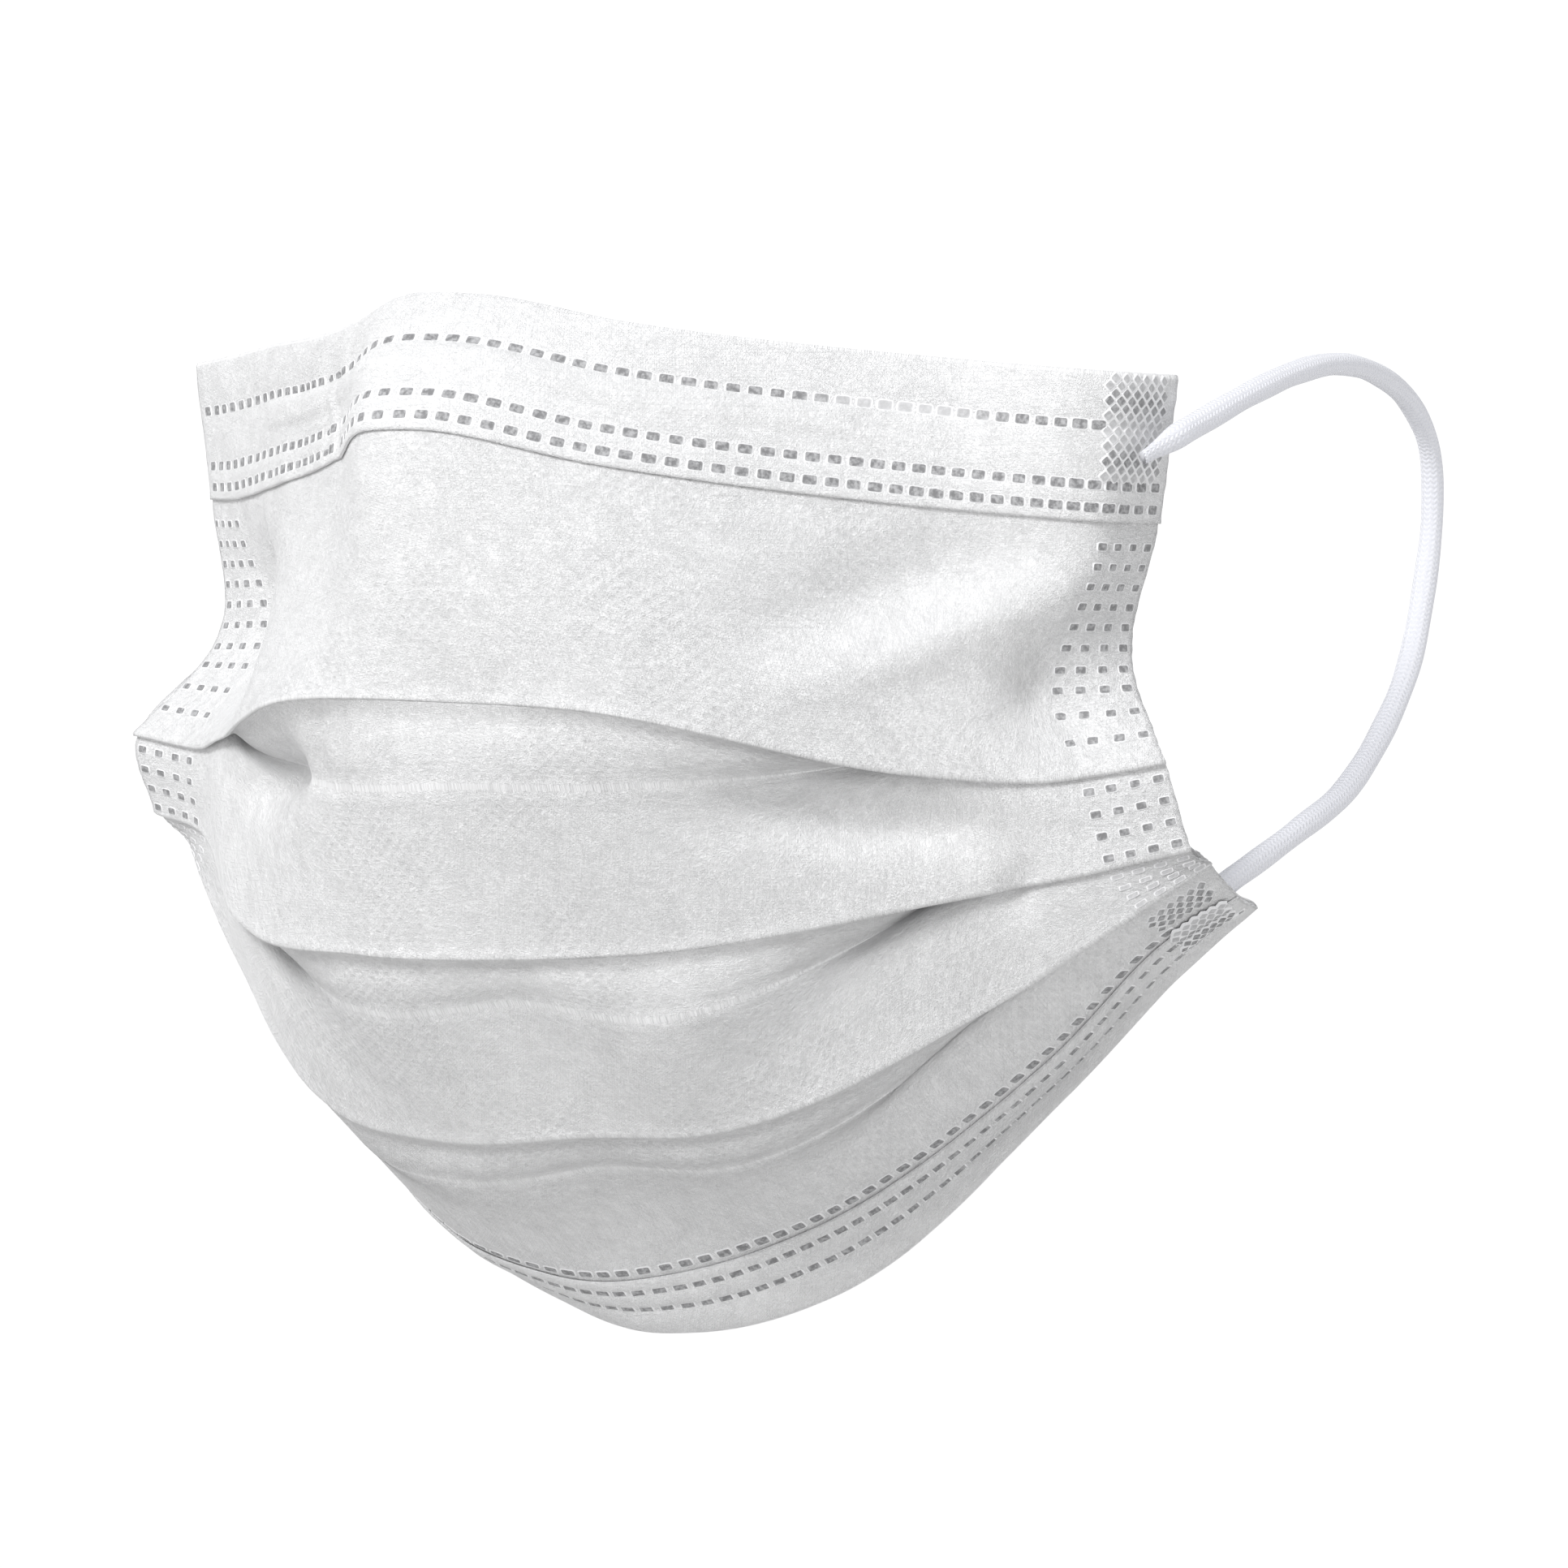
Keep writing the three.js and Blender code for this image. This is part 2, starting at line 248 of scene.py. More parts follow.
# Each stretch is one face of a pleat: its lines, with the layers in front where open and where shut
STRETCHES = (
    (
        (Fold.UPPER_EDGE, 0, 0),
        (Fold.HEM_EDGE, 0, 0),
        (Fold.BAND_KINK, 0, 0),
        (Fold.LIP_1, 0, 0),
    ),
    ((Fold.LIP_1, 1, 1), (Fold.VALLEY_1, 1, 1)),
    ((Fold.VALLEY_1, 2, 2), (Fold.STEP_1, 1, 2), (Fold.LIP_2, 0, 0)),
    ((Fold.LIP_2, 1, 1), (Fold.VALLEY_2, 1, 3)),
    ((Fold.VALLEY_2, 2, 4), (Fold.STEP_2, 1, 2), (Fold.LIP_3, 0, 0)),
    ((Fold.LIP_3, 1, 1), (Fold.VALLEY_3, 1, 3)),
    (
        (Fold.VALLEY_3, 2, 4),
        (Fold.STEP_3, 1, 2),
        (Fold.LOWER_HEM_EDGE, 0, 0),
        (Fold.LOWER_EDGE, 0, 0),
    ),
)


def smooth_through(stops: np.ndarray, points: np.ndarray, at: np.ndarray) -> np.ndarray:
    """A smooth curve through points at uneven stops, with slopes from both neighbours.

    Args:
        stops: Rising positions of the points, one for each.
        points: The points, as stops x places x 3. One place serves every position.
        at: A position for each place.

    Returns:
        A point for each position, as places x 3.
    """
    gaps = np.diff(stops)[:, None, None]
    rise = np.diff(points, axis=0) / gaps
    inner = (rise[:-1] * gaps[1:] + rise[1:] * gaps[:-1]) / (gaps[:-1] + gaps[1:])
    slopes = np.concatenate([rise[:1], inner, rise[-1:]])
    i = np.clip(np.searchsorted(stops, at) - 1, 0, len(stops) - 2)
    place = np.arange(len(at)) if points.shape[1] > 1 else np.zeros(len(at), int)
    span = gaps[i, 0]
    u = np.clip((at - stops[i])[:, None] / span, 0, 1)
    return (
        points[i, place] * (2 * u**3 - 3 * u**2 + 1)
        + slopes[i, place] * (u**3 - 2 * u**2 + u) * span
        + points[i + 1, place] * (3 * u**2 - 2 * u**3)
        + slopes[i + 1, place] * (u**3 - u**2) * span
    )


def unit(vectors: np.ndarray) -> np.ndarray:
    """The vectors at length 1."""
    return vectors / np.maximum(np.linalg.norm(vectors, axis=-1, keepdims=True), 1e-9)


def smooth_step(x: np.ndarray, low: float | np.ndarray, high: float) -> np.ndarray:
    """0 below low, 1 above high, and a smooth rise between."""
    u = np.clip((x - low) / (high - low), 0, 1)
    return u * u * (3 - 2 * u)


def bell(x: np.ndarray, reach: float) -> np.ndarray:
    """1 where x is 0, falling smoothly to about a third at reach."""
    return np.exp(-((x / reach) ** 2))


def spread(first: float, last: float, step: float) -> np.ndarray:
    """Evenly spaced values from first to last, no further apart than about step."""
    return np.linspace(first, last, max(1, round(abs(last - first) / step)) + 1)


@dataclass(frozen=True)
class Dent:
    """A soft hollow or swelling in the worn cloth, all layers together.

    s and z place its middle, across and down are its reach, turn its angle in degrees, and
    depth how far it goes in (negative swells out).
    """

    s: float
    z: float
    across: float
    down: float
    turn: float
    depth: float

    def push(self, s: np.ndarray, z: np.ndarray) -> np.ndarray:
        """How far it moves the cloth inward at each place.

        Args:
            s: Places across the cloth.
            z: Their heights.

        Returns:
            The way inward, in millimetres.
        """
        a = math.radians(self.turn)
        u = ((s - self.s) * math.cos(a) + (z - self.z) * math.sin(a)) / self.across
        v = ((z - self.z) * math.cos(a) - (s - self.s) * math.sin(a)) / self.down
        return self.depth * np.exp(-(u * u) - v * v)


DENTS = (
    Dent(s=-64, z=-43, across=10, down=9, turn=-20, depth=9.5),  # valley beside the left band
    Dent(s=-2, z=-29, across=9, down=9, turn=0, depth=1.2),  # under the hem, front
    Dent(s=52, z=-35, across=19, down=6, turn=17, depth=4.6),  # under the hem, right cheek
    Dent(s=57, z=-41, across=18, down=3.6, turn=18, depth=-2.6),  # the ridge across the cheek
    Dent(s=73, z=-49.5, across=8.5, down=6, turn=10, depth=4.6),  # pocket beside the band
    Dent(s=79, z=-54, across=3.5, down=5, turn=0, depth=1.4),  # the right band drawn in
    Dent(s=44, z=-64, across=17, down=3.6, turn=-4, depth=4.4),  # shade under the first lip
    Dent(s=64, z=-72.5, across=5, down=2.6, turn=35, depth=2.0),  # crescent under the second lip
    Dent(s=10, z=-89, across=4, down=5, turn=-30, depth=1.4),  # pinch below the second valley
    Dent(s=7.5, z=-56, across=1.6, down=6, turn=3, depth=0.6),  # crease down to the first valley
    Dent(s=-42, z=-59.5, across=8.5, down=4.5, turn=15, depth=5.6),  # pocket under the first lip
    Dent(s=-28, z=-56, across=1.8, down=6, turn=-20, depth=1.2),  # crease at the pocket's end
    Dent(s=2, z=-117, across=24, down=4.2, turn=17, depth=2.6),  # drape crease over the hem
    Dent(s=26, z=-104, across=18, down=6, turn=18, depth=-1.4),  # swelling over the drape
    Dent(s=-30, z=-15, across=1.5, down=7, turn=12, depth=0.7),  # creases beside the nose
    Dent(s=-34, z=-15, across=1.3, down=6, turn=4, depth=0.5),  # the same, further out
)


@dataclass(frozen=True)
class WornCloth:
    """The cloth as it hangs on the face: places on each stretch of it, from s and t."""

    half_width: float = 87.5
    hem: float = 19.1  # how far down the front the upper hem shows
    lower_hem: float = 12.8  # how far up the front the lower hem shows
    lower_hem_back: float = 15.0
    height: float = 164.0  # with the pleats pulled out
    band: float = 10.5  # the width of the welded band at each side
    layer: float = 0.5  # from one layer of a shut pleat to the next
    open_layer: float = 0.15  # the share of that step where the pleats stand open
    dents: tuple[Dent, ...] = DENTS
    wave_seed: int = 11
    wave_height: float = 0.05  # of a wave 12 mm long
    wavelengths: tuple[float, ...] = (31.0, 23.0, 17.0, 12.0, 9.0, 7.0)

    def line(self, fold: Fold, s: np.ndarray) -> np.ndarray:
        """A shaping line's places at s, as places x 3.

        Args:
            fold: The line.
            s: Places across the cloth.

        Returns:
            The line's places.
        """
        if fold in STEPS:
            above, below, _ = STEPS[fold]
            shut = self.shut(s)[:, None]
            middle = (self.line(above, s) + self.line(below, s)) / 2
            return middle * (1 - shut) + self.line(SHUT_BEHIND[fold], s) * shut
        sides = LINES[SHUT_BEHIND.get(fold, fold)]
        edge, inner_edge = self.half_width, self.half_width - self.band
        at, points = zip(
            (-edge, sides.left),
            (-inner_edge, sides.left_band),
            *((at, (x, *place)) for (at, x), place in zip(STATIONS, LINES[fold].stations)),
            (inner_edge, sides.right_band),
            (edge, sides.right),
        )
        return smooth_through(np.array(at, float), np.array(points, float)[:, None], s)

    def shut(self, s: np.ndarray) -> np.ndarray:
        """How far the pleats are shut at s: 0 by the nose, 1 in the side bands."""
        corner = np.where(s < 0, CORNERS[0], CORNERS[1])
        return smooth_step(np.abs(s), corner, self.half_width - self.band)

    @staticmethod
    def place_t(fold: Fold) -> float:
        """Where a line lies on the flat cloth."""
        return LINES[fold].t if fold in LINES else STEPS[fold][2]

    def inward(self, fold: Fold, s: np.ndarray) -> np.ndarray:
        """The level direction towards the wearer along a line.

        Args:
            fold: The line.
            s: Places across the cloth.

        Returns:
            A direction of length 1 for each place.
        """
        along = self.line(fold, s + 0.5) - self.line(fold, s - 0.5)
        level = np.stack([-along[:, 1], along[:, 0], np.zeros(len(s))], 1)
        return unit(level)

    def surface(self, stretch: int, s: np.ndarray, t: np.ndarray) -> np.ndarray:
        """Places on one stretch of the cloth, before the dents, as places x 3.

        Args:
            stretch: The stretch's number in STRETCHES.
            s: Places across the cloth.
            t: Places down the cloth.

        Returns:
            The places.
        """
        s, t = np.asarray(s, float), np.asarray(t, float)
        shut = self.shut(s)
        lines = []
        for fold, opened, closed in STRETCHES[stretch]:
            behind = opened * self.open_layer * (1 - shut) + closed * shut
            push = self.inward(fold, s) * (self.layer * behind)[:, None]
            lines.append(self.line(fold, s) + push)
        stops = np.array([self.place_t(row[0]) for row in STRETCHES[stretch]], float)
        return smooth_through(stops, np.stack(lines), t)

    def facing(self, stretch: int, s: np.ndarray, t: np.ndarray) -> np.ndarray:
        """The direction in which the cloth faces, away from the wearer.

        Args:
            stretch: The stretch's number in STRETCHES.
            s: Places across the cloth.
            t: Places down the cloth.

        Returns:
            A direction of length 1 for each place.
        """
        down = self.surface(stretch, s, t + 0.5) - self.surface(stretch, s, t - 0.5)
        across = self.surface(stretch, s + 0.5, t) - self.surface(stretch, s - 0.5, t)
        return unit(np.cross(down, across))

    def settle(self, s: np.ndarray, points: np.ndarray) -> np.ndarray:
        """The points moved by the dents and by the cloth's faint waves.

        Args:
            s: Places across the cloth.
            points: The places to move, as places x 3.

        Returns:
            The moved places.
        """
        z = points[:, 2]
        push = sum((dent.push(s, z) for dent in self.dents), np.zeros(len(s)))
        rng = np.random.default_rng(self.wave_seed)
        for wavelength in self.wavelengths:
            angle, phase = rng.uniform(0, math.pi), rng.uniform(0, 2 * math.pi)
            run = s * math.cos(angle) + z * math.sin(angle)
            push = push + self.wave_height * wavelength / 12 * np.sin(
                run * 2 * math.pi / wavelength + phase
            )
        return points + self.inward(Fold.BAND_KINK, s) * push[:, None]

    def places(
        self, stretch: int, s: np.ndarray, t: np.ndarray, lift: np.ndarray | float = 0.0
    ) -> np.ndarray:
        """Finished places at s and t, lifted off the cloth's middle, as places x 3.

        Args:
            stretch: The stretch's number in STRETCHES.
            s: Places across the cloth.
            t: Places down the cloth.
            lift: How far off the middle, away from the wearer.

        Returns:
            The places.
        """
        s, t = np.asarray(s, float), np.asarray(t, float)
        lift = np.broadcast_to(np.asarray(lift, float), s.shape)
        points = self.surface(stretch, s, t)
        return self.settle(s, points + self.facing(stretch, s, t) * lift[:, None])


class Wall:
    """A closed wall of even thickness round a grid of middle places, with s and t as its UV."""

    SHARPEST = -0.2  # the cosine of a fold's turn past which its mitre grows no longer

    def __init__(self, points: np.ndarray, s: np.ndarray, t: np.ndarray, thickness: float) -> None:
        """Takes grid[across][down] of places with their s and t, and the wall's thickness."""
        self.points, self.s, self.t, self.thickness = points, s, t, thickness

    def offsets(self) -> np.ndarray:
        """From each middle place to the front face, mitred at the folds.

        Returns:
            The ways, as across x down x 3.
        """
        grid = self.points
        down = np.diff(grid, axis=1)
        wide = np.concatenate([grid[1:], grid[-1:]]) - np.concatenate([grid[:1], grid[:-1]])
        faces = unit(np.cross(down, (wide[:, 1:] + wide[:, :-1]) / 2))
        first = np.concatenate([faces[:, :1], faces], 1)
        second = np.concatenate([faces, faces[:, -1:]], 1)
        turn = np.maximum((first * second).sum(-1, keepdims=True), self.SHARPEST)
        return (first + second) * (self.thickness / 2) / (1 + turn)

    def object(self, name: str) -> bpy.types.Object:
        """The wall as a smooth mesh object in metres.

        Args:
            name: The piece's name.

        Returns:
            The object.
        """
        across, down = self.points.shape[:2]
        offset = self.offsets()
        layers = [self.points + offset, self.points - offset]
        points = np.concatenate([layer.reshape(-1, 3) for layer in layers])
        front = np.arange(across * down).reshape(across, down)
        back = front + across * down

        def quads(a: np.ndarray, b: np.ndarray, c: np.ndarray, d: np.ndarray) -> np.ndarray:
            """Faces from four arrays of corners."""
            return np.stack([x.ravel() for x in (a, b, c, d)], 1)

        faces = [
            quads(front[:-1, :-1], front[:-1, 1:], front[1:, 1:], front[1:, :-1]),
            quads(back[1:, :-1], back[1:, 1:], back[:-1, 1:], back[:-1, :-1]),
            quads(front[:-1, 0], front[1:, 0], back[1:, 0], back[:-1, 0]),
            quads(front[1:, -1], front[:-1, -1], back[:-1, -1], back[1:, -1]),
            quads(front[0, 1:], front[0, :-1], back[0, :-1], back[0, 1:]),
            quads(front[-1, :-1], front[-1, 1:], back[-1, 1:], back[-1, :-1]),
        ]
        uv = np.stack([self.s.ravel() / TILE + 0.5, self.t.ravel() / TILE], 1)
        return mesh_object(name, points, np.concatenate(faces).tolist(), np.concatenate([uv, uv]))


def mesh_object(
    name: str,
    points: np.ndarray,
    faces: list[list[int]],
    uv: np.ndarray | None = None,
) -> bpy.types.Object:
    """A smooth mesh object at the origin.

    Args:
        name: The piece's name.
        points: Its vertices in millimetres.
        faces: The vertex numbers of each face.
        uv: A place on the UV map for each vertex.

    Returns:
        The object, linked to the scene.
    """
    mesh = bpy.data.meshes.new(name)
    mesh.from_pydata((points * MM).tolist(), [], faces)
    mesh.polygons.foreach_set("use_smooth", np.ones(len(mesh.polygons), bool))
    if uv is not None:
        corner = np.zeros(len(mesh.loops), np.int64)
        mesh.loops.foreach_get("vertex_index", corner)
        layer = mesh.uv_layers.new(name="cloth")
        layer.data.foreach_set("uv", uv[corner].astype(np.float32).ravel())
    mesh.update()
    made = bpy.data.objects.new(name, mesh)
    bpy.context.scene.collection.objects.link(made)
    return made


def hold(piece: bpy.types.Object, name: str, values: np.ndarray) -> None:
    """Stores a number or a vector for each of a mesh's places.

    Args:
        piece: The mesh's object.
        name: The attribute's name.
        values: A number, or three, for each place.
    """
    kind, key = ("FLOAT", "value") if values.ndim == 1 else ("FLOAT_VECTOR", "vector")
    stored = piece.data.attributes.new(name, kind, "POINT")
    stored.data.foreach_set(key, values.astype(np.float32).ravel())


# ---------------------------------------------------------------- finishes


class Value:
    """A shader value that takes part in Python arithmetic by adding Math nodes."""

    def __init__(self, nodes: Nodes, socket: bpy.types.NodeSocket) -> None:
        """Wraps an output socket of a material's nodes."""
        self.nodes, self.socket = nodes, socket

    def _math(self, operation: str, a: Value | float, b: Value | float) -> Value:
        """One Math node on two values."""
        made = self.nodes.node("ShaderNodeMath", {"operation": operation}, {0: a, 1: b})
        return Value(self.nodes, made.outputs[0])

    def __add__(self, other: Value | float) -> Value:
        """This value plus another."""
        return self._math("ADD", self, other)

    def __radd__(self, other: float) -> Value:
        """A number plus this value."""
        return self._math("ADD", other, self)

    def __sub__(self, other: Value | float) -> Value:
        """This value less another."""
        return self._math("SUBTRACT", self, other)

    def __rsub__(self, other: float) -> Value:
        """A number less this value."""
        return self._math("SUBTRACT", other, self)

    def __mul__(self, other: Value | float) -> Value:
        """This value times another."""
        return self._math("MULTIPLY", self, other)

    def __rmul__(self, other: float) -> Value:
        """A number times this value."""
        return self._math("MULTIPLY", other, self)

    def distance(self, other: float) -> Value:
        """How far this value is from a number."""
        return self._math("ABSOLUTE", self - other, 0.0)

    def rise(self, low: float, high: float) -> Value:
        """0 below low and 1 above high, with a smooth rise between; low above high falls.

        Args:
            low: The value that becomes 0.
            high: The value that becomes 1.

        Returns:
            The new value.
        """
        made = self.nodes.node(
            "ShaderNodeMapRange",
            {"interpolation_type": "SMOOTHSTEP"},
            {"Value": self, "From Min": low, "From Max": high},
        )
        return Value(self.nodes, made.outputs[0])


class Tree:
    """A node tree that is built from methods."""

    def __init__(self, tree: bpy.types.NodeTree) -> None:
        """Takes the tree."""
        self.tree = tree

    def node(
        self, kind: str, settings: dict[str, object], inputs: dict[str | int, object]
    ) -> bpy.types.Node:
        """Adds a node.

        Args:
            kind: The node's type.
            settings: Its own settings, which are set first.
            inputs: Values or links for its sockets, by name or number.

        Returns:
            The node.
        """
        made = self.tree.nodes.new(kind)
        for key, value in settings.items():
            setattr(made, key, value)
        for key, value in inputs.items():
            source = value.socket if isinstance(value, Value) else value
            if isinstance(source, bpy.types.NodeSocket):
                self.tree.links.new(source, made.inputs[key])
            else:
                made.inputs[key].default_value = source
        return made


class Nodes(Tree):
    """The node tree of one material."""

    def __init__(self, name: str) -> None:
        """Makes an empty material.

        Args:
            name: The material's name.
        """
        self.material = bpy.data.materials.new(name)
        self.material.use_nodes = True
        super().__init__(self.material.node_tree)
        self.tree.nodes.clear()

    def cloth_map(self) -> bpy.types.NodeSocket:
        """The piece's UV map in millimetres of cloth.

        Returns:
            The vector's socket.
        """
        made = self.node("ShaderNodeUVMap", {"uv_map": "cloth"}, {})
        inputs = {0: made.outputs[0], "Scale": TILE}
        return self.node("ShaderNodeVectorMath", {"operation": "SCALE"}, inputs).outputs[0]

    def turned(
        self,
        vector: bpy.types.NodeSocket,
        turn: float,
        scale: tuple[float, float],
        shift: float = 0.0,
    ) -> bpy.types.NodeSocket:
        """A vector turned by an angle in degrees, then scaled along and across.

        Args:
            vector: The vector's socket.
            turn: The angle.
            scale: The scales along and across.
            shift: How far the pattern moves, before the scales.

        Returns:
            The new vector's socket.
        """
        turned = self.node(
            "ShaderNodeMapping",
            {},
            {0: vector, "Rotation": (0, 0, math.radians(turn)), "Location": (shift, shift, 0)},
        )
        scaled = self.node(
            "ShaderNodeMapping", {}, {0: turned.outputs[0], "Scale": (*scale, 1.0)}
        )
        return scaled.outputs[0]

    def noise(
        self,
        vector: bpy.types.NodeSocket,
        scale: float,
        detail: float = 2.0,
        roughness: float = 0.5,
        distortion: float = 0.0,
    ) -> Value:
        """Noise from about 0 to 1 at that scale.

        Args:
            vector: Where the noise is read.
            scale: Its scale.
            detail: How many finer layers it has.
            roughness: How strong the finer layers are.
            distortion: How far it is swirled.

        Returns:
            The noise.
        """
        made = self.node(
            "ShaderNodeTexNoise",
            {"noise_dimensions": "3D"},
            {
                "Vector": vector,
                "Scale": scale,
                "Detail": detail,
                "Roughness": roughness,
                "Distortion": distortion,
            },
        )
        return Value(self, made.outputs[0])

    def dots(self, vector: bpy.types.NodeSocket, pitch: float, radius: float) -> Value:
        """A square lattice of soft round dots: 1 in a dot's middle, 0 between dots.

        Args:
            vector: Where the lattice is read.
            pitch: From dot to dot.
            radius: A dot's radius.

        Returns:
            The dots.
        """
        made = self.node(
            "ShaderNodeTexVoronoi",
            {"voronoi_dimensions": "2D"},
            {"Vector": vector, "Scale": 1 / pitch, "Randomness": 0.0},
        )
        reach = radius / pitch
        return Value(self, made.outputs["Distance"]).rise(reach * 1.4, reach * 0.5)

    def attribute(self, name: str) -> Value:
        """A number that the mesh holds at each place."""
        made = self.node("ShaderNodeAttribute", {"attribute_name": name}, {})
        return Value(self, made.outputs["Fac"])

    def blend(
        self,
        share: Value,
        a: tuple[float, ...] | bpy.types.NodeSocket,
        b: tuple[float, ...] | bpy.types.NodeSocket,
    ) -> bpy.types.NodeSocket:
        """Colour a where share is 0 and b where it is 1.

        Args:
            share: The share of b.
            a: A colour or a colour's socket.
            b: Another.

        Returns:
            The blended colour's socket.
        """
        colours = [x if isinstance(x, bpy.types.NodeSocket) else (*x, 1.0) for x in (a, b)]
        made = self.node(
            "ShaderNodeMix", {"data_type": "RGBA"}, {0: share, 6: colours[0], 7: colours[1]}
        )
        return made.outputs[2]

    def bump(self, height: Value, depth: float) -> bpy.types.NodeSocket:
        """A surface normal bumped by height, where height 1 stands depth metres proud."""
        inputs = {"Height": height, "Distance": depth, "Strength": 1.0}
        return self.node("ShaderNodeBump", {}, inputs).outputs[0]

    def pingpong(self, value: Value, scale: float) -> Value:
        """A value folded to and fro between 0 and scale."""
        made = self.node("ShaderNodeMath", {"operation": "PINGPONG"}, {0: value, 1: scale})
        return Value(self, made.outputs[0])

    def finish(self, **shader: object) -> bpy.types.Material:
        """Ends the tree in a Principled shader with those sockets, spaces as underscores.

        Args:
            **shader: Values or links for the shader's sockets.

        Returns:
            The finished material.
        """
        inputs = {key.replace("_", " "): value for key, value in shader.items()}
        made = self.node("ShaderNodeBsdfPrincipled", {}, inputs)
        self.node("ShaderNodeOutputMaterial", {}, {"Surface": made.outputs[0]})
        return self.material


@dataclass(frozen=True)
class ClothFinish:
    """Matte white non-woven cloth: crossing hair-fine fibres, mottling and faint bond points."""

    name: str
    colour: tuple[float, float, float]
    shade: tuple[float, float, float]
    depth: float = 0.32
    fibre: tuple[float, float] = (0.17, 3.4)  # how fast the noise changes along and across
    bond_pitch: float = 1.4
    bond_radius: float = 0.42
    bond_share: float = 0.5
    directions: tuple[float, ...] = (8, 38, 71, 104, 139, 166)

    def fibres(self, nodes: Nodes, cloth: bpy.types.NodeSocket) -> Value:
        """Fine curved fibres that run in all the directions.

        Args:
            nodes: The material's nodes.
            cloth: The cloth's map.

        Returns:
            Their height, from 0 to about 1.
        """
        total = None
        for i, turn in enumerate(self.directions):
            run = nodes.turned(cloth, turn, self.fibre, 37.0 * i)
            hair = nodes.noise(run, 1.0, 1.0, 0.4, 0.35).distance(0.5).rise(0.07, 0.0)
            total = hair if total is None else total + hair
        return total * (1 / len(self.directions))

    def make(self) -> bpy.types.Material:
        """The finish as a material.

        Returns:
            The material.
        """
        nodes = Nodes(self.name)
        cloth = nodes.cloth_map()
        fibres = self.fibres(nodes, cloth)
        mottle = nodes.noise(cloth, 0.32, 3.0, 0.6)
        grain = nodes.noise(cloth, 1.9, 2.0, 0.6)
        lattice = nodes.turned(cloth, 45, (1, 1))
        bonds = nodes.dots(lattice, self.bond_pitch, self.bond_radius)
        bonds = bonds * nodes.noise(cloth, 0.045, 1.0).rise(0.42, 0.62) * self.bond_share
        tone = mottle * 0.5 + grain * 0.3 + fibres * 0.5 - bonds * 0.25
        colour = nodes.blend(tone.rise(0.2, 0.8), self.shade, self.colour)
        height = fibres * 0.6 + grain * 0.45 + mottle * 0.5 - bonds * 0.5
        return nodes.finish(
            Base_Color=colour,
            Roughness=0.86,
            Sheen_Weight=0.25,
            Sheen_Roughness=0.5,
            Specular_IOR_Level=0.3,
            Normal=nodes.bump(height, self.depth * MM),
        )


@dataclass(frozen=True)
class WeldFinish:
    """A weld mark: glassy grey film on its floor, drawn-up cloth round it."""

    name: str = "weld_film"
    cloth: tuple[float, float, float] = (0.93, 0.93, 0.94)
    film: tuple[float, float, float] = (0.22, 0.22, 0.225)
    edge: tuple[float, float, float] = (0.48, 0.48, 0.49)
    speck_scale: float = 1700.0
    depth: float = 0.12

    def make(self) -> bpy.types.Material:
        """The finish as a material.

        Returns:
            The material.
        """
        nodes = Nodes(self.name)
        place = nodes.node("ShaderNodeTexCoord", {}, {}).outputs["Object"]
        speck = nodes.noise(place, self.speck_scale, 2.0, 0.6)
        depth = nodes.attribute("weld_depth") * nodes.attribute("weld_strength")
        film = nodes.blend(speck.rise(0.35, 0.72), self.film, self.edge)
        colour = nodes.blend((depth + speck * 0.2 - 0.1).rise(0.1, 1.0), self.cloth, film)
        return nodes.finish(
            Base_Color=colour,
            Roughness=0.9 - depth * 0.35,
            Specular_IOR_Level=0.35,
            Normal=nodes.bump(speck, self.depth * MM),
        )


@dataclass(frozen=True)
class ElasticFinish:
    """Soft knitted elastic: slanting stitches in ribs along the cord."""

    name: str = "knitted_elastic"
    light: tuple[float, float, float] = (0.93, 0.935, 0.98)
    dark: tuple[float, float, float] = (0.84, 0.85, 0.91)
    rib: float = 0.42  # half a rib's width
    stitch: float = 0.36  # half a stitch's length
    slant: float = 0.8
    depth: float = 0.12

    def make(self) -> bpy.types.Material:
        """The finish as a material; its map runs along the cord and round it.

        Returns:
            The material.
        """
        nodes = Nodes(self.name)
        cord = nodes.cloth_map()
        split = nodes.node("ShaderNodeSeparateXYZ", {}, {0: cord})
        along, around = (Value(nodes, split.outputs[i]) for i in (0, 1))
        rib = nodes.pingpong(around, self.rib)
        stitch = nodes.pingpong(along + rib * self.slant, self.stitch)
        knit = stitch * 2.2 + rib * 0.9
        fuzz = nodes.noise(nodes.turned(cord, 20, (1.0, 4.0)), 1.4, 3.0, 0.6)
        tone = knit * 0.45 + fuzz * 0.6
        return nodes.finish(
            Base_Color=nodes.blend(tone.rise(0.2, 0.85), self.dark, self.light),
            Roughness=0.82,
            Sheen_Weight=0.35,
            Sheen_Roughness=0.4,
            Specular_IOR_Level=0.3,
            Normal=nodes.bump(knit + fuzz * 0.6, self.depth * MM),
        )


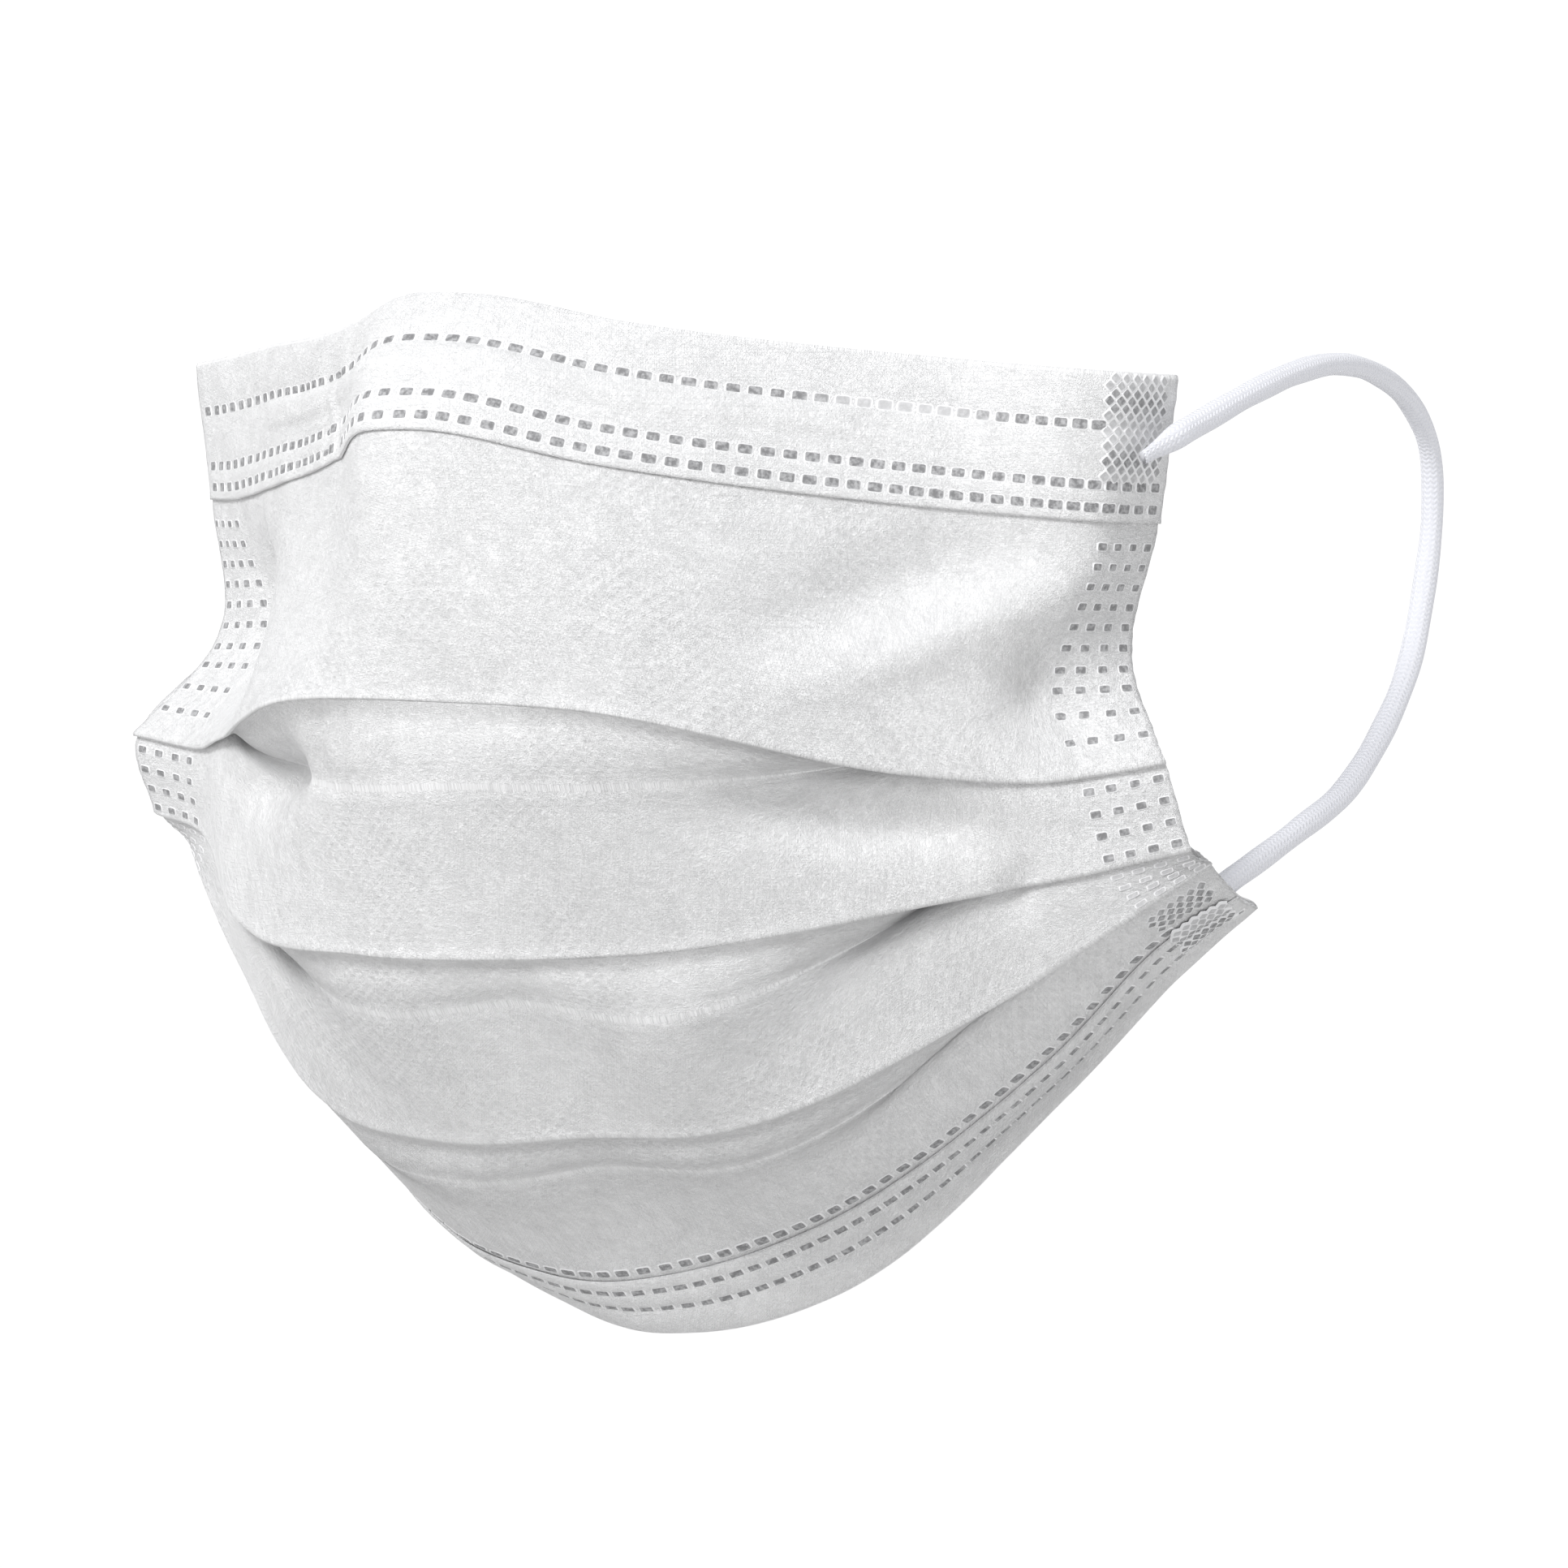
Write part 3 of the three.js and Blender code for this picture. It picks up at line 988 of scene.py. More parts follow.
@dataclass(frozen=True)
class StageFinish:
    """The pale floor, which glows as a lamp for the mask: a dimmer grey glow under it that lights
    it from below, and glowing white further out.
    """

    name: str = "pale_floor"
    colour: tuple[float, float, float] = (0.8, 0.8, 0.8)
    # near: the dimmer glow under the mask, which lights its underside
    near: float = 0.66
    far: float = 1.05
    light: float = 0.78  # what the far floor sheds on the mask
    near_radius: float = 0.12
    far_radius: float = 0.55

    def make(self) -> bpy.types.Material:
        """The finish as a material.

        Returns:
            The material.
        """
        nodes = Nodes(self.name)
        seen = nodes.node("ShaderNodeLightPath", {}, {}).outputs["Is Camera Ray"]
        glow = nodes.blend(Value(nodes, seen), (self.light,) * 3, (self.far,) * 3)
        place = nodes.node("ShaderNodeTexCoord", {}, {}).outputs["Object"]
        from_middle = nodes.node("ShaderNodeVectorMath", {"operation": "LENGTH"}, {0: place})
        out = Value(nodes, from_middle.outputs["Value"]).rise(self.near_radius, self.far_radius)
        return nodes.finish(
            Base_Color=nodes.blend(out, self.colour, (0.05, 0.05, 0.05)),
            Roughness=1.0,
            Specular_IOR_Level=0.0,
            Emission_Color=nodes.blend(out, (self.near,) * 3, glow),
            Emission_Strength=1.0,
        )


def dress(piece: bpy.types.Object, material: bpy.types.Material) -> None:
    """Gives a piece one material."""
    piece.data.materials.clear()
    piece.data.materials.append(material)


# ---------------------------------------------------------------- ear loops

RIGHT_ROUTE = (
    (80.2, 25.2, -19.6),
    (82, 30, -17.2),
    (82.8, 36.5, -15.1),
    (83.8, 46, -12.2),
    (84, 59, -9.5),
    (83.9, 70, -8.5),
    (83.5, 81.5, -9.5),
    (82.7, 94, -13.3),
    (82.2, 101.5, -19.5),
    (82, 103, -27.5),
    (82, 101, -36.5),
    (82.3, 95.5, -47.5),
    (82.7, 87, -55.5),
    (83, 75, -62.8),
    (82.3, 63.5, -67),
    (80.7, 54, -70.8),
    (80.2, 48.5, -72.6),
    (79.8, 44, -74.5),
    (78.5, 41.4, -76.1),
)
LEFT_ROUTE = (
    (-56.8, 32.5, -18.7),
    (-60.8, 36.3, -17.6),
    (-64.6, 40.6, -16.4),
    (-67.8, 45.4, -14.6),
    (-70.2, 51, -12),
    (-71.8, 60, -9.8),
    (-71.8, 70, -8.7),
    (-71.2, 81.5, -9.7),
    (-70.2, 94, -13.5),
    (-69.4, 101.5, -19.7),
    (-69, 103, -27.7),
    (-68.8, 101, -36.7),
    (-68.6, 95.5, -47.7),
    (-68.3, 87, -56),
    (-67.8, 75, -63.6),
    (-66.4, 63.5, -68.4),
    (-64.8, 54.5, -72.6),
    (-63.8, 48.5, -74.8),
    (-63, 44, -77.2),
    (-61.6, 40.9, -79.3),
)


@dataclass
class EarLoop:
    """One elastic loop: a soft knitted cord from the upper corner round the ear to the lower."""

    side: Side
    route: tuple[tuple[float, float, float], ...]
    diameter: float = 3.0
    ring_step: float = 0.6
    ring_points: int = 20
    flat_end: float = 7.0  # the length at each end that the weld flattens
    flattening: float = 0.32
    widening: float = 0.15
    tip: float = 0.5  # the share of the thickness left at the very end
    oval: float = 0.07

    def centres(self) -> np.ndarray:
        """The ring centres along the route, evenly spaced.

        Returns:
            The centres, as rings x 3.
        """
        route = np.array(self.route, float)
        chord = np.linalg.norm(np.diff(route, axis=0), axis=1) ** 0.5
        stops = np.concatenate([[0], np.cumsum(chord)])
        dense = smooth_through(stops, route[:, None], np.linspace(0, stops[-1], 2000))
        run = np.concatenate([[0], np.cumsum(np.linalg.norm(np.diff(dense, axis=0), axis=1))])
        at = spread(0, run[-1], self.ring_step)
        return np.stack([np.interp(at, run, dense[:, k]) for k in range(3)], 1)

    def rings(self, centres: np.ndarray, run: np.ndarray) -> np.ndarray:
        """The rings round the centres, flat and tapered where the ends are welded down.

        Args:
            centres: The ring centres.
            run: How far along the cord each ring is.

        Returns:
            The places, as rings x ring points x 3.
        """
        tangent = unit(np.gradient(centres, axis=0))
        level = unit(np.cross(tangent, np.array([self.side.value, 0.0, 0.0])))
        outward = unit(np.cross(level, tangent))
        ends = np.minimum(run, run[-1] - run)
        flat = 1 - smooth_step(ends, 0.3 * self.flat_end, self.flat_end)
        taper = 1 - (1 - self.tip) * (1 - smooth_step(ends, 0.0, self.flat_end))
        # The knit is a little uneven in thickness, and slightly oval in a direction that wanders
        twist = 0.5 * np.sin(run / 19) + run / 60
        ripple = 1 + 0.025 * np.sin(run / 1.9) + 0.02 * np.sin(run / 5.3 + 1)
        oval = self.oval * (1 - flat)
        angle = np.linspace(0, 2 * math.pi, self.ring_points, endpoint=False)[None]
        squeeze = 1 + oval[:, None] * np.cos(2 * (angle - twist[:, None]))
        radius = self.diameter / 2 * ripple[:, None] * squeeze
        wide = (taper * (1 + self.widening * flat))[:, None] * radius * np.cos(angle)
        thick = (taper * (1 - self.flattening * flat))[:, None] * radius * np.sin(angle)
        across = level[:, None] * wide[..., None]
        return centres[:, None] + across + outward[:, None] * thick[..., None]

    def faces(self, rings: int) -> list[list[int]]:
        """The faces between neighbouring rings, and one at each end.

        Args:
            rings: How many rings there are.

        Returns:
            The vertex numbers of each face.
        """
        index = np.arange(rings * self.ring_points).reshape(rings, self.ring_points)
        nxt = np.roll(index, -1, axis=1)
        corners = (index[:-1], nxt[:-1], nxt[1:], index[1:])
        sides = np.stack([corner.ravel() for corner in corners], 1).tolist()
        return sides + [index[0].tolist()[::-1], index[-1].tolist()]

    def build(self, material: bpy.types.Material) -> bpy.types.Object:
        """The loop as a dressed piece on the root body that stands for its CAD cord.

        Args:
            material: The elastic's finish.

        Returns:
            The loop.
        """
        centres = self.centres()
        run = np.linspace(0, 1, len(centres)) * self.ring_step * (len(centres) - 1)
        points = self.rings(centres, run).reshape(-1, 3)
        name = f"ear_loop_{self.side.name.lower()}"
        piece = mesh_object(f"{name}_knit", points, self.faces(len(centres)))
        self.map_round(piece.data, run)
        make_outward(piece)
        dress(piece, material)
        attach(piece, "root")
        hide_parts(name)
        return piece

    def map_round(self, mesh: bpy.types.Mesh, run: np.ndarray) -> None:
        """Lays a UV map on the cord: u along it and v round it, in shares of the cloth tile.

        Args:
            mesh: The cord's mesh.
            run: How far along the cord each ring is.
        """
        layer = mesh.uv_layers.new(name="cloth")
        count = self.ring_points
        girth = math.pi * self.diameter
        for face in mesh.polygons:
            corners = [mesh.loops[i].vertex_index for i in face.loop_indices]
            wraps = len(corners) == 4 and {c % count for c in corners} == {0, count - 1}
            for loop, corner in zip(face.loop_indices, corners):
                around = corner % count
                around = count if wraps and around == 0 else around
                v = around / count * girth
                layer.data[loop].uv = (run[corner // count] / TILE, v / TILE)


def make_outward(piece: bpy.types.Object) -> None:
    """Turns a closed mesh's faces outwards if its volume comes out negative.

    Args:
        piece: The mesh's object.
    """
    mesh = piece.data
    mesh.calc_loop_triangles()
    points = np.array([v.co for v in mesh.vertices])
    a, b, c = (points[[t.vertices[k] for t in mesh.loop_triangles]] for k in range(3))
    if np.einsum("ij,ij->", a, np.cross(b, c)) < 0:
        mesh.flip_normals()


# ---------------------------------------------------------------- cloth pieces


@dataclass
class PleatedPanel:
    """The pleated body of the mask, from under the upper hem to inside the lower one."""

    cloth: WornCloth
    thickness: float = 0.34
    top: float = 12.2
    bottom: float = 163.2
    row_step: float = 0.95
    crowd: tuple[float, ...] = (0.0, 0.3, 0.75, 1.4)  # how far from a fold its nearest rows lie
    column_step: float = 1.15
    band_step: float = 0.75
    scallop: float = 0.22  # how far the cut side edges wander
    passes: int = 30  # of relaxing the open folds
    press_reach: float = 0.9
    lip_height: float = 0.35
    valley_depth: float = 0.4
    trough_depth: float = 0.55
    trough_below: float = 2.8  # how far below the lip its trough lies
    trough_reach: float = 1.8
    folds: tuple[tuple[Fold, Fold], ...] = (
        (Fold.LIP_1, Fold.VALLEY_1),
        (Fold.LIP_2, Fold.VALLEY_2),
        (Fold.LIP_3, Fold.VALLEY_3),
    )
    softened: tuple[tuple[Fold, float, float], ...] = (
        (Fold.VALLEY_1, 3.2, 0.6),
        (Fold.VALLEY_2, 3.6, 0.8),
        (Fold.LIP_3, 1.0, 0.3),
        (Fold.VALLEY_3, 3.2, 0.6),
    )

    def columns(self) -> np.ndarray:
        """Places across the cloth, closest together in the side bands.

        Returns:
            Their s, rising.
        """
        edge, band = self.cloth.half_width, self.cloth.band
        return np.concatenate(
            [
                spread(-edge, band - edge, self.band_step)[:-1],
                spread(band - edge, edge - band, self.column_step),
                spread(edge - band, edge, self.band_step)[1:],
            ]
        )

    def rows(self, first: float, last: float) -> np.ndarray:
        """Places down one stretch, closest together at its folds.

        Args:
            first: Where the stretch starts.
            last: Where it ends.

        Returns:
            Their t, rising.
        """
        near = np.array(self.crowd)
        inner = spread(first + near[-1], last - near[-1], self.row_step)[1:-1]
        return np.concatenate([first + near, inner, last - near[::-1]])

    def pressed(self, t: np.ndarray) -> np.ndarray:
        """How far the pressed folds stand out: a sharp lip, a trough under it, a thin valley.

        Args:
            t: Places down the cloth.

        Returns:
            The height at each place.
        """
        height = np.zeros(len(t))
        for lip, valley in self.folds:
            lip_t, valley_t = LINES[lip].t, LINES[valley].t
            height = height + self.lip_height * bell(t - lip_t, self.press_reach)
            trough = bell(t - lip_t - self.trough_below, self.trough_reach) * (t > lip_t)
            height = height - self.trough_depth * trough
            height = height - self.valley_depth * bell(t - valley_t, self.press_reach)
        return height

    def build(self, material: bpy.types.Material) -> bpy.types.Object:
        """The panel as a dressed piece on the root body.

        Args:
            material: The cloth's finish.

        Returns:
            The panel.
        """
        across = self.columns()
        grids, places_t = [], []
        for i, stretch in enumerate(STRETCHES):
            first = max(self.cloth.place_t(stretch[0][0]), self.top)
            last = min(self.cloth.place_t(stretch[-1][0]), self.bottom)
            rows = self.rows(first, last)
            s, t = (x.ravel() for x in np.meshgrid(across, rows, indexing="ij"))
            ragged = self.scallop * (0.6 + 0.4 * np.sin(t * 2.2) * np.sin(t * 0.9 + s))
            held = np.sign(s) * np.minimum(np.abs(s), self.cloth.half_width - ragged)
            lift = self.pressed(t) * (1 - self.cloth.shut(s)) ** 2
            made = self.cloth.places(i, held, t, lift)
            grids.append(made.reshape(len(across), len(rows), 3))
            places_t.append(rows)
        for i in range(len(grids) - 1):
            bend = self.fold_end(grids[i], grids[i + 1])
            grids[i] = np.concatenate([grids[i], bend], 1)
            places_t[i] = np.concatenate([places_t[i], [places_t[i][-1]]])
        t = np.concatenate(places_t)
        points = self.relax(across, t, np.concatenate(grids, 1))
        s_map, t_map = np.meshgrid(across, t, indexing="ij")
        panel = Wall(points, s_map, t_map, self.thickness).object("pleated_cloth")
        dress(panel, material)
        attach(panel, "root")
        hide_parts("mask_panel")
        LOG.info("%s: %d faces", panel.name, len(panel.data.polygons))
        return panel

    def relax(self, across: np.ndarray, t: np.ndarray, points: np.ndarray) -> np.ndarray:
        """Softens the folds where the pleats stand open, the valleys more than the lips.

        Args:
            across: The columns' places s.
            t: The rows' places t.
            points: The places of the grid.

        Returns:
            The places after relaxing.
        """
        opened = (1 - self.cloth.shut(across))[:, None] ** 2
        soft = np.zeros(len(t))
        for fold, reach, most in self.softened:
            soft = np.maximum(soft, most * bell(t - LINES[fold].t, reach))
        share = (opened * soft)[..., None] * 0.5
        for _ in range(self.passes):
            middle = (points[:, :-2] + points[:, 2:]) / 2
            inner = points[:, 1:-1]
            points = np.concatenate(
                [points[:, :1], inner + (middle - inner) * share[:, 1:-1], points[:, -1:]], 1
            )
        return points

    @staticmethod
    def fold_end(upper: np.ndarray, lower: np.ndarray) -> np.ndarray:
        """The round end of a fold between two stretches, one place for each column.

        Args:
            upper: The grid of the stretch above.
            lower: The grid of the stretch below.

        Returns:
            The row of places between them.
        """
        gap = np.linalg.norm(upper[:, -1] - lower[:, 0], axis=1, keepdims=True)
        onward = unit(upper[:, -1] - upper[:, -2])
        return ((upper[:, -1] + lower[:, 0]) / 2 + onward * gap / 2)[:, None]


@dataclass(frozen=True)
class WirePocket:
    """Where the nose wire swells a hem: from first to last in s, from upper to lower in t."""

    first: float = -58.0
    last: float = 42.0
    upper: float = 7.9
    lower: float = 10.9
    height: float = 0.5

    def swell(self, s: np.ndarray, t: np.ndarray) -> np.ndarray:
        """How far the wire lifts the hem at each place.

        Args:
            s: Places across the cloth.
            t: Places down the cloth.

        Returns:
            The height at each place.
        """
        run = smooth_step(s, self.first - 2, self.first + 2)
        run = run * (1 - smooth_step(s, self.last - 2, self.last + 2))
        over = smooth_step(t, self.upper - 0.8, self.upper + 0.6)
        over = over * (1 - smooth_step(t, self.lower - 0.6, self.lower + 0.8))
        return self.height * run * over


@dataclass
class FoldedHem:
    """A strip folded over one long edge of the cloth and welded through it in rows."""

    cloth: WornCloth
    name: str
    stands_for: str
    stretch: int
    front_edge: float
    back_edge: float
    fold: float
    rows_of_welds: tuple[float, ...]
    thickness: float = 0.3
    lift: float = 0.42  # from the cloth's middle to each layer's middle
    pillow: float = 0.32  # how far it swells between two rows of welds
    pinch: float = 0.06
    pinch_reach: float = 0.7
    end_reach: float = 3.0  # over which the hem closes towards its side ends
    end_lift: float = 0.8  # the share of the lift left there
    ragged: float = 0.2
    roundness: float = 0.35
    wire: WirePocket | None = None
    column_step: float = 0.7
    row_step: float = 0.45
    back_step: float = 1.4

    def height(self, s: np.ndarray, t: np.ndarray) -> np.ndarray:
        """How far the front of the hem stands off the cloth, pinched at the rows of welds.

        Args:
            s: Places across the cloth.
            t: Places down the cloth.

        Returns:
            The height at each place.
        """
        edges = sorted({self.front_edge, self.fold, *self.rows_of_welds})
        puff = np.zeros(len(t))
        for low, high in zip(edges, edges[1:]):
            u = np.clip((t - low) / (high - low), 0, 1)
            puff = puff + self.pillow * np.sin(math.pi * u) ** 0.8 * min(1, (high - low) / 4)
        for row in self.rows_of_welds:
            puff = puff - self.pinch * bell(t - row, self.pinch_reach)
        if self.wire:
            puff = puff + self.wire.swell(s, t)
        within = smooth_step(self.cloth.half_width - np.abs(s), 0.0, self.end_reach)
        return self.lift * (self.end_lift + (1 - self.end_lift) * within) + puff * within

    def front(self, s: np.ndarray, t: np.ndarray, above: float = 0.0) -> np.ndarray:
        """Places on the hem's front, above its middle by that much."""
        return self.cloth.places(self.stretch, s, t, self.height(s, t) + above)

    def build(self, material: bpy.types.Material) -> bpy.types.Object:
        """The hem as a dressed piece.

        Args:
            material: The hem's finish.

        Returns:
            The hem.
        """
        edge = self.cloth.half_width
        across = spread(-edge, edge, self.column_step)
        front = spread(self.front_edge, self.fold, self.row_step)
        back = spread(self.fold, self.back_edge, self.back_step)
        s_front, t_front = np.meshgrid(across, front, indexing="ij")
        s_back, t_back = np.meshgrid(across, back, indexing="ij")
        frayed = 0.5 + 0.5 * np.sin(t_front * 1.7) * np.sin(t_front * 0.6 + s_front)
        held = np.sign(s_front) * np.minimum(np.abs(s_front), edge - self.ragged * frayed)
        ahead = self.front(held.ravel(), t_front.ravel()).reshape(*s_front.shape, 3)
        behind = self.cloth.places(self.stretch, s_back.ravel(), t_back.ravel(), -self.lift)
        behind = behind.reshape(*s_back.shape, 3)
        onward = unit(ahead[:, -1] - ahead[:, -2])
        middle = (ahead[:, -1] + behind[:, 0]) / 2 + onward * self.lift
        out = onward * self.lift * self.roundness
        bend = ((ahead[:, -1] + middle) / 2 + out, middle, (behind[:, 0] + middle) / 2 + out)
        points = np.concatenate([ahead, *(place[:, None] for place in bend), behind], 1)
        t = np.concatenate([front, [self.fold] * 3, back])
        s_map, t_map = np.meshgrid(across, t, indexing="ij")
        hem = Wall(points, s_map, t_map, self.thickness).object(self.name)
        make_outward(hem)
        dress(hem, material)
        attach(hem, "root")
        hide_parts(self.stands_for)
        LOG.info("%s: %d faces", hem.name, len(hem.data.polygons))
        return hem


# ---------------------------------------------------------------- weld marks


@dataclass
class WeldField:
    """One field of weld marks: their places, turns and sizes, and how firmly each is pressed."""

    points: np.ndarray
    facing: np.ndarray
    along: np.ndarray
    size: np.ndarray
    strength: np.ndarray


@dataclass(frozen=True)
class BandRun:
    """Rows of dots down a side band, on one face of a pleat, from first to last in t."""

    stretch: int
    first: float
    last: float
    dot: tuple[float, float] = (1.1, 0.78)
    strength: float = 0.95


@dataclass
class WeldMarks:
    """All the weld marks, copied over the cloth by a node tree from one small pressed mark."""

    cloth: WornCloth
    top: FoldedHem
    bottom: FoldedHem
    dash: tuple[float, float] = (1.5, 1.0)
    row_pitch: float = 2.65
    far_pitch: float = 3.4  # where the left cheek's cloth is pulled out
    stretched: float = -50
    row_start: float = -85.6
    row_ends: tuple[float, ...] = (76.0, 87.0, 87.0, 78.0, 87.0)  # from the top row down
    faint: tuple[float, ...] = (33.0, 42.0, 52.0, 66.0)  # where the top row fades out and back
    faintness: float = 0.4
    panel_row: tuple[float, float, float] = (150.0, -75.6, 77.0)  # t, and from s to s
    band_runs: tuple[BandRun, ...] = (
        BandRun(stretch=0, first=22.4, last=39.6),
        BandRun(stretch=0, first=41.6, last=49.6),
        BandRun(stretch=2, first=75.6, last=84.4),
        BandRun(stretch=4, first=110.2, last=119.0, dot=(1.15, 0.42), strength=0.6),
    )
    band_margin: float = 1.5
    band_columns: int = 4
    column_pitch: float = 2.75
    lattice_dot: tuple[float, float] = (0.82, 0.82)
    lattice_margin: float = 2.9
    lattice_columns: int = 6
    lattice_pitch: float = 1.6
    lattice_step: float = 0.97
    lattice_runs: tuple[tuple[float, float], ...] = ((0.7, 13.6), (145.4, 149.0), (150.6, 157.4))
    above: float = 0.31
    above_panel: float = 0.23
    mark_sides: int = 12
    squareness: float = 0.34  # a mark's outline is round at 1 and square at 0
    jitter: float = 0.06
    seed: int = 5

    def on_hem(self, hem: FoldedHem) -> Placer:
        """Gives places just over a hem's front."""
        return lambda s, t: hem.front(s, t, self.above)

    def on_panel(self, stretch: int) -> Placer:
        """Gives places just over one face of the pleated cloth."""
        return lambda s, t: self.cloth.places(stretch, s, t, self.above_panel)

    def field_on(
        self,
        place: Placer,
        s: np.ndarray,
        t: np.ndarray,
        size: tuple[float, float],
        strength: np.ndarray | float = 1.0,
    ) -> WeldField:
        """A field at s and t.

        Args:
            place: Gives finished places from s and t.
            s: Places across the cloth.
            t: Places down the cloth.
            size: Length and width of a mark.
            strength: How firmly each mark is pressed, from 0 to 1.

        Returns:
            The field.
        """
        across = place(s + 0.3, t) - place(s - 0.3, t)
        down = place(s, t + 0.3) - place(s, t - 0.3)
        facing = unit(np.cross(down, across))
        sizes = np.tile(np.array([*size, 1.0]), (len(s), 1))
        return WeldField(
            place(s, t), facing, unit(across), sizes, np.broadcast_to(strength, s.shape)
        )

    def row(self, hem: FoldedHem, t: float, last: float) -> WeldField:
        """One row of dashes along a hem; the outer one is faint over a stretch of the cheek.

        Args:
            hem: The hem that the row welds.
            t: The row's place down the cloth.
            last: Where the row ends on the right.

        Returns:
            The row's field.
        """
        far = np.arange(self.stretched, self.row_start, -self.far_pitch)[:0:-1]
        s = np.concatenate([far, np.arange(self.stretched, last, self.row_pitch)])
        start, full, fall, end = self.faint
        faint = smooth_step(s, start, full) * (1 - smooth_step(s, fall, end))
        strength = 1 - self.faintness * faint * (t == self.top.rows_of_welds[0])
        return self.field_on(self.on_hem(hem), s, np.full(len(s), t), self.dash, strength)

    def band(self, side: Side) -> list[WeldField]:
        """The columns of dots down one side band, on every face of it that shows.

        Args:
            side: The side of the mask.

        Returns:
            A field for each run of dots.
        """
        fields = []
        inset = self.band_margin + self.column_pitch * np.arange(self.band_columns)
        columns = side.value * (self.cloth.half_width - inset)
        for run in self.band_runs:
            s, t = np.meshgrid(columns, np.arange(run.first, run.last, PITCH))
            place = self.on_panel(run.stretch)
            fields.append(self.field_on(place, s.ravel(), t.ravel(), run.dot, run.strength))
        return fields

    def lattice(self, place: Placer, first: float, last: float) -> WeldField:
        """The close diamond lattice that holds the right ear loop in a hem's corner.

        Args:
            place: Gives finished places from s and t.
            first: Where the lattice starts down the cloth.
            last: Where it ends.

        Returns:
            The lattice's field.
        """
        edge = self.cloth.half_width - self.lattice_margin
        down = np.arange(first, last, self.lattice_step)
        stagger = self.lattice_pitch / 2 * (np.arange(len(down)) % 2)
        across = self.lattice_pitch * np.arange(self.lattice_columns)
        s = (edge - across[None] - stagger[:, None]).ravel()
        t = np.repeat(down, self.lattice_columns)
        held = bell(t - first - 3.0, 1.6) + bell(t - last + 2.5, 1.4)
        made = self.field_on(place, s, t, self.lattice_dot, 0.6 + 0.35 * np.minimum(held, 1.0))
        made.along = unit(made.along + np.cross(made.facing, made.along))
        return made

    def joined(self) -> WeldField:
        """Every field as one.

        Returns:
            The joined field.
        """
        rows = [(hem, t) for hem in (self.top, self.bottom) for t in hem.rows_of_welds]
        made = [self.row(hem, t, last) for (hem, t), last in zip(rows, self.row_ends)]
        t, first, last = self.panel_row
        s = np.arange(first, last, PITCH)
        panel = self.on_panel(len(STRETCHES) - 1)
        made.append(self.field_on(panel, s, np.full(len(s), t), self.dash))
        for side in Side:
            made.extend(self.band(side))
        faces = (self.on_hem(self.top), panel, self.on_hem(self.bottom))
        made.extend(self.lattice(face, *run) for face, run in zip(faces, self.lattice_runs))
        names = [part.name for part in fields(WeldField)]
        return WeldField(*(np.concatenate([getattr(f, name) for f in made]) for name in names))

    def mark(self) -> bpy.types.Object:
        """One pressed mark of unit size: a floor, the drawn-up rim round it and its foot.

        Returns:
            The mark, with the share of weld_depth at each place.
        """
        count = self.mark_sides
        outline = []
        for k in range(count):
            a = 2 * math.pi * (k + 0.5) / count
            outline.append(
                [math.copysign(abs(c) ** self.squareness, c) for c in (math.cos(a), math.sin(a))]
            )
        # Each ring's scale, height and share of film
        rings = ((0.45, 0.0, 1.0), (0.56, 0.0, 0.85), (0.66, 0.04, 0.0), (0.84, -0.3, 0.0))
        points, faces, depth = [(0.0, 0.0, 0.0)], [], [1.0]
        for scale, z, share in rings:
            points += [(x * scale, y * scale, z) for x, y in outline]
            depth += [share] * count
        for k in range(count):
            nxt = (k + 1) % count
            faces.append([0, 1 + k, 1 + nxt])
            for ring in range(len(rings) - 1):
                low, high = 1 + count * ring, 1 + count * (ring + 1)
                faces.append([low + k, high + k, high + nxt, low + nxt])
        made = mesh_object("weld_mark_pattern", np.array(points), faces)
        hold(made, "weld_depth", np.array(depth))
        return made

    def seeds(self) -> bpy.types.Object:
        """A mesh of bare points that holds each mark's place, turn and size.

        Returns:
            The points as an object.
        """
        marks = self.joined()
        made = mesh_object("weld_marks", marks.points, [])
        for name in ("facing", "along", "size"):
            hold(made, name, getattr(marks, name))
        hold(made, "weld_strength", marks.strength)
        LOG.info("weld_marks: %d marks", len(marks.points))
        return made

    def tree(self) -> bpy.types.NodeTree:
        """The node tree that sets one mark on each point, turned and sized as the point says.

        Returns:
            The tree, with its inputs named.
        """
        tree = bpy.data.node_groups.new("weld_marks", "GeometryNodeTree")
        side = tree.interface
        side.new_socket("Geometry", in_out="INPUT", socket_type="NodeSocketGeometry")
        side.new_socket("Mark", in_out="INPUT", socket_type="NodeSocketObject")
        side.new_socket("Jitter", in_out="INPUT", socket_type="NodeSocketFloat")
        side.new_socket("Seed", in_out="INPUT", socket_type="NodeSocketInt")
        side.new_socket("Finish", in_out="INPUT", socket_type="NodeSocketMaterial")
        side.new_socket("Geometry", in_out="OUTPUT", socket_type="NodeSocketGeometry")
        build = Tree(tree)
        given = build.node("NodeGroupInput", {}, {})
        facing, along, size = (
            build.node(
                "GeometryNodeInputNamedAttribute",
                {"data_type": "FLOAT_VECTOR"},
                {"Name": name},
            ).outputs[0]
            for name in ("facing", "along", "size")
        )
        turn = build.node(
            "FunctionNodeAxesToRotation",
            {"primary_axis": "Z", "secondary_axis": "X"},
            {"Primary Axis": facing, "Secondary Axis": along},
        )
        least, most = (
            build.node("ShaderNodeMath", {"operation": way}, {0: 1.0, 1: given.outputs["Jitter"]})
            for way in ("SUBTRACT", "ADD")
        )
        change = build.node(
            "FunctionNodeRandomValue",
            {"data_type": "FLOAT"},
            {2: least.outputs[0], 3: most.outputs[0], "Seed": given.outputs["Seed"]},
        )
        scale = build.node(
            "ShaderNodeVectorMath", {"operation": "SCALE"}, {0: size, "Scale": change.outputs[1]}
        )
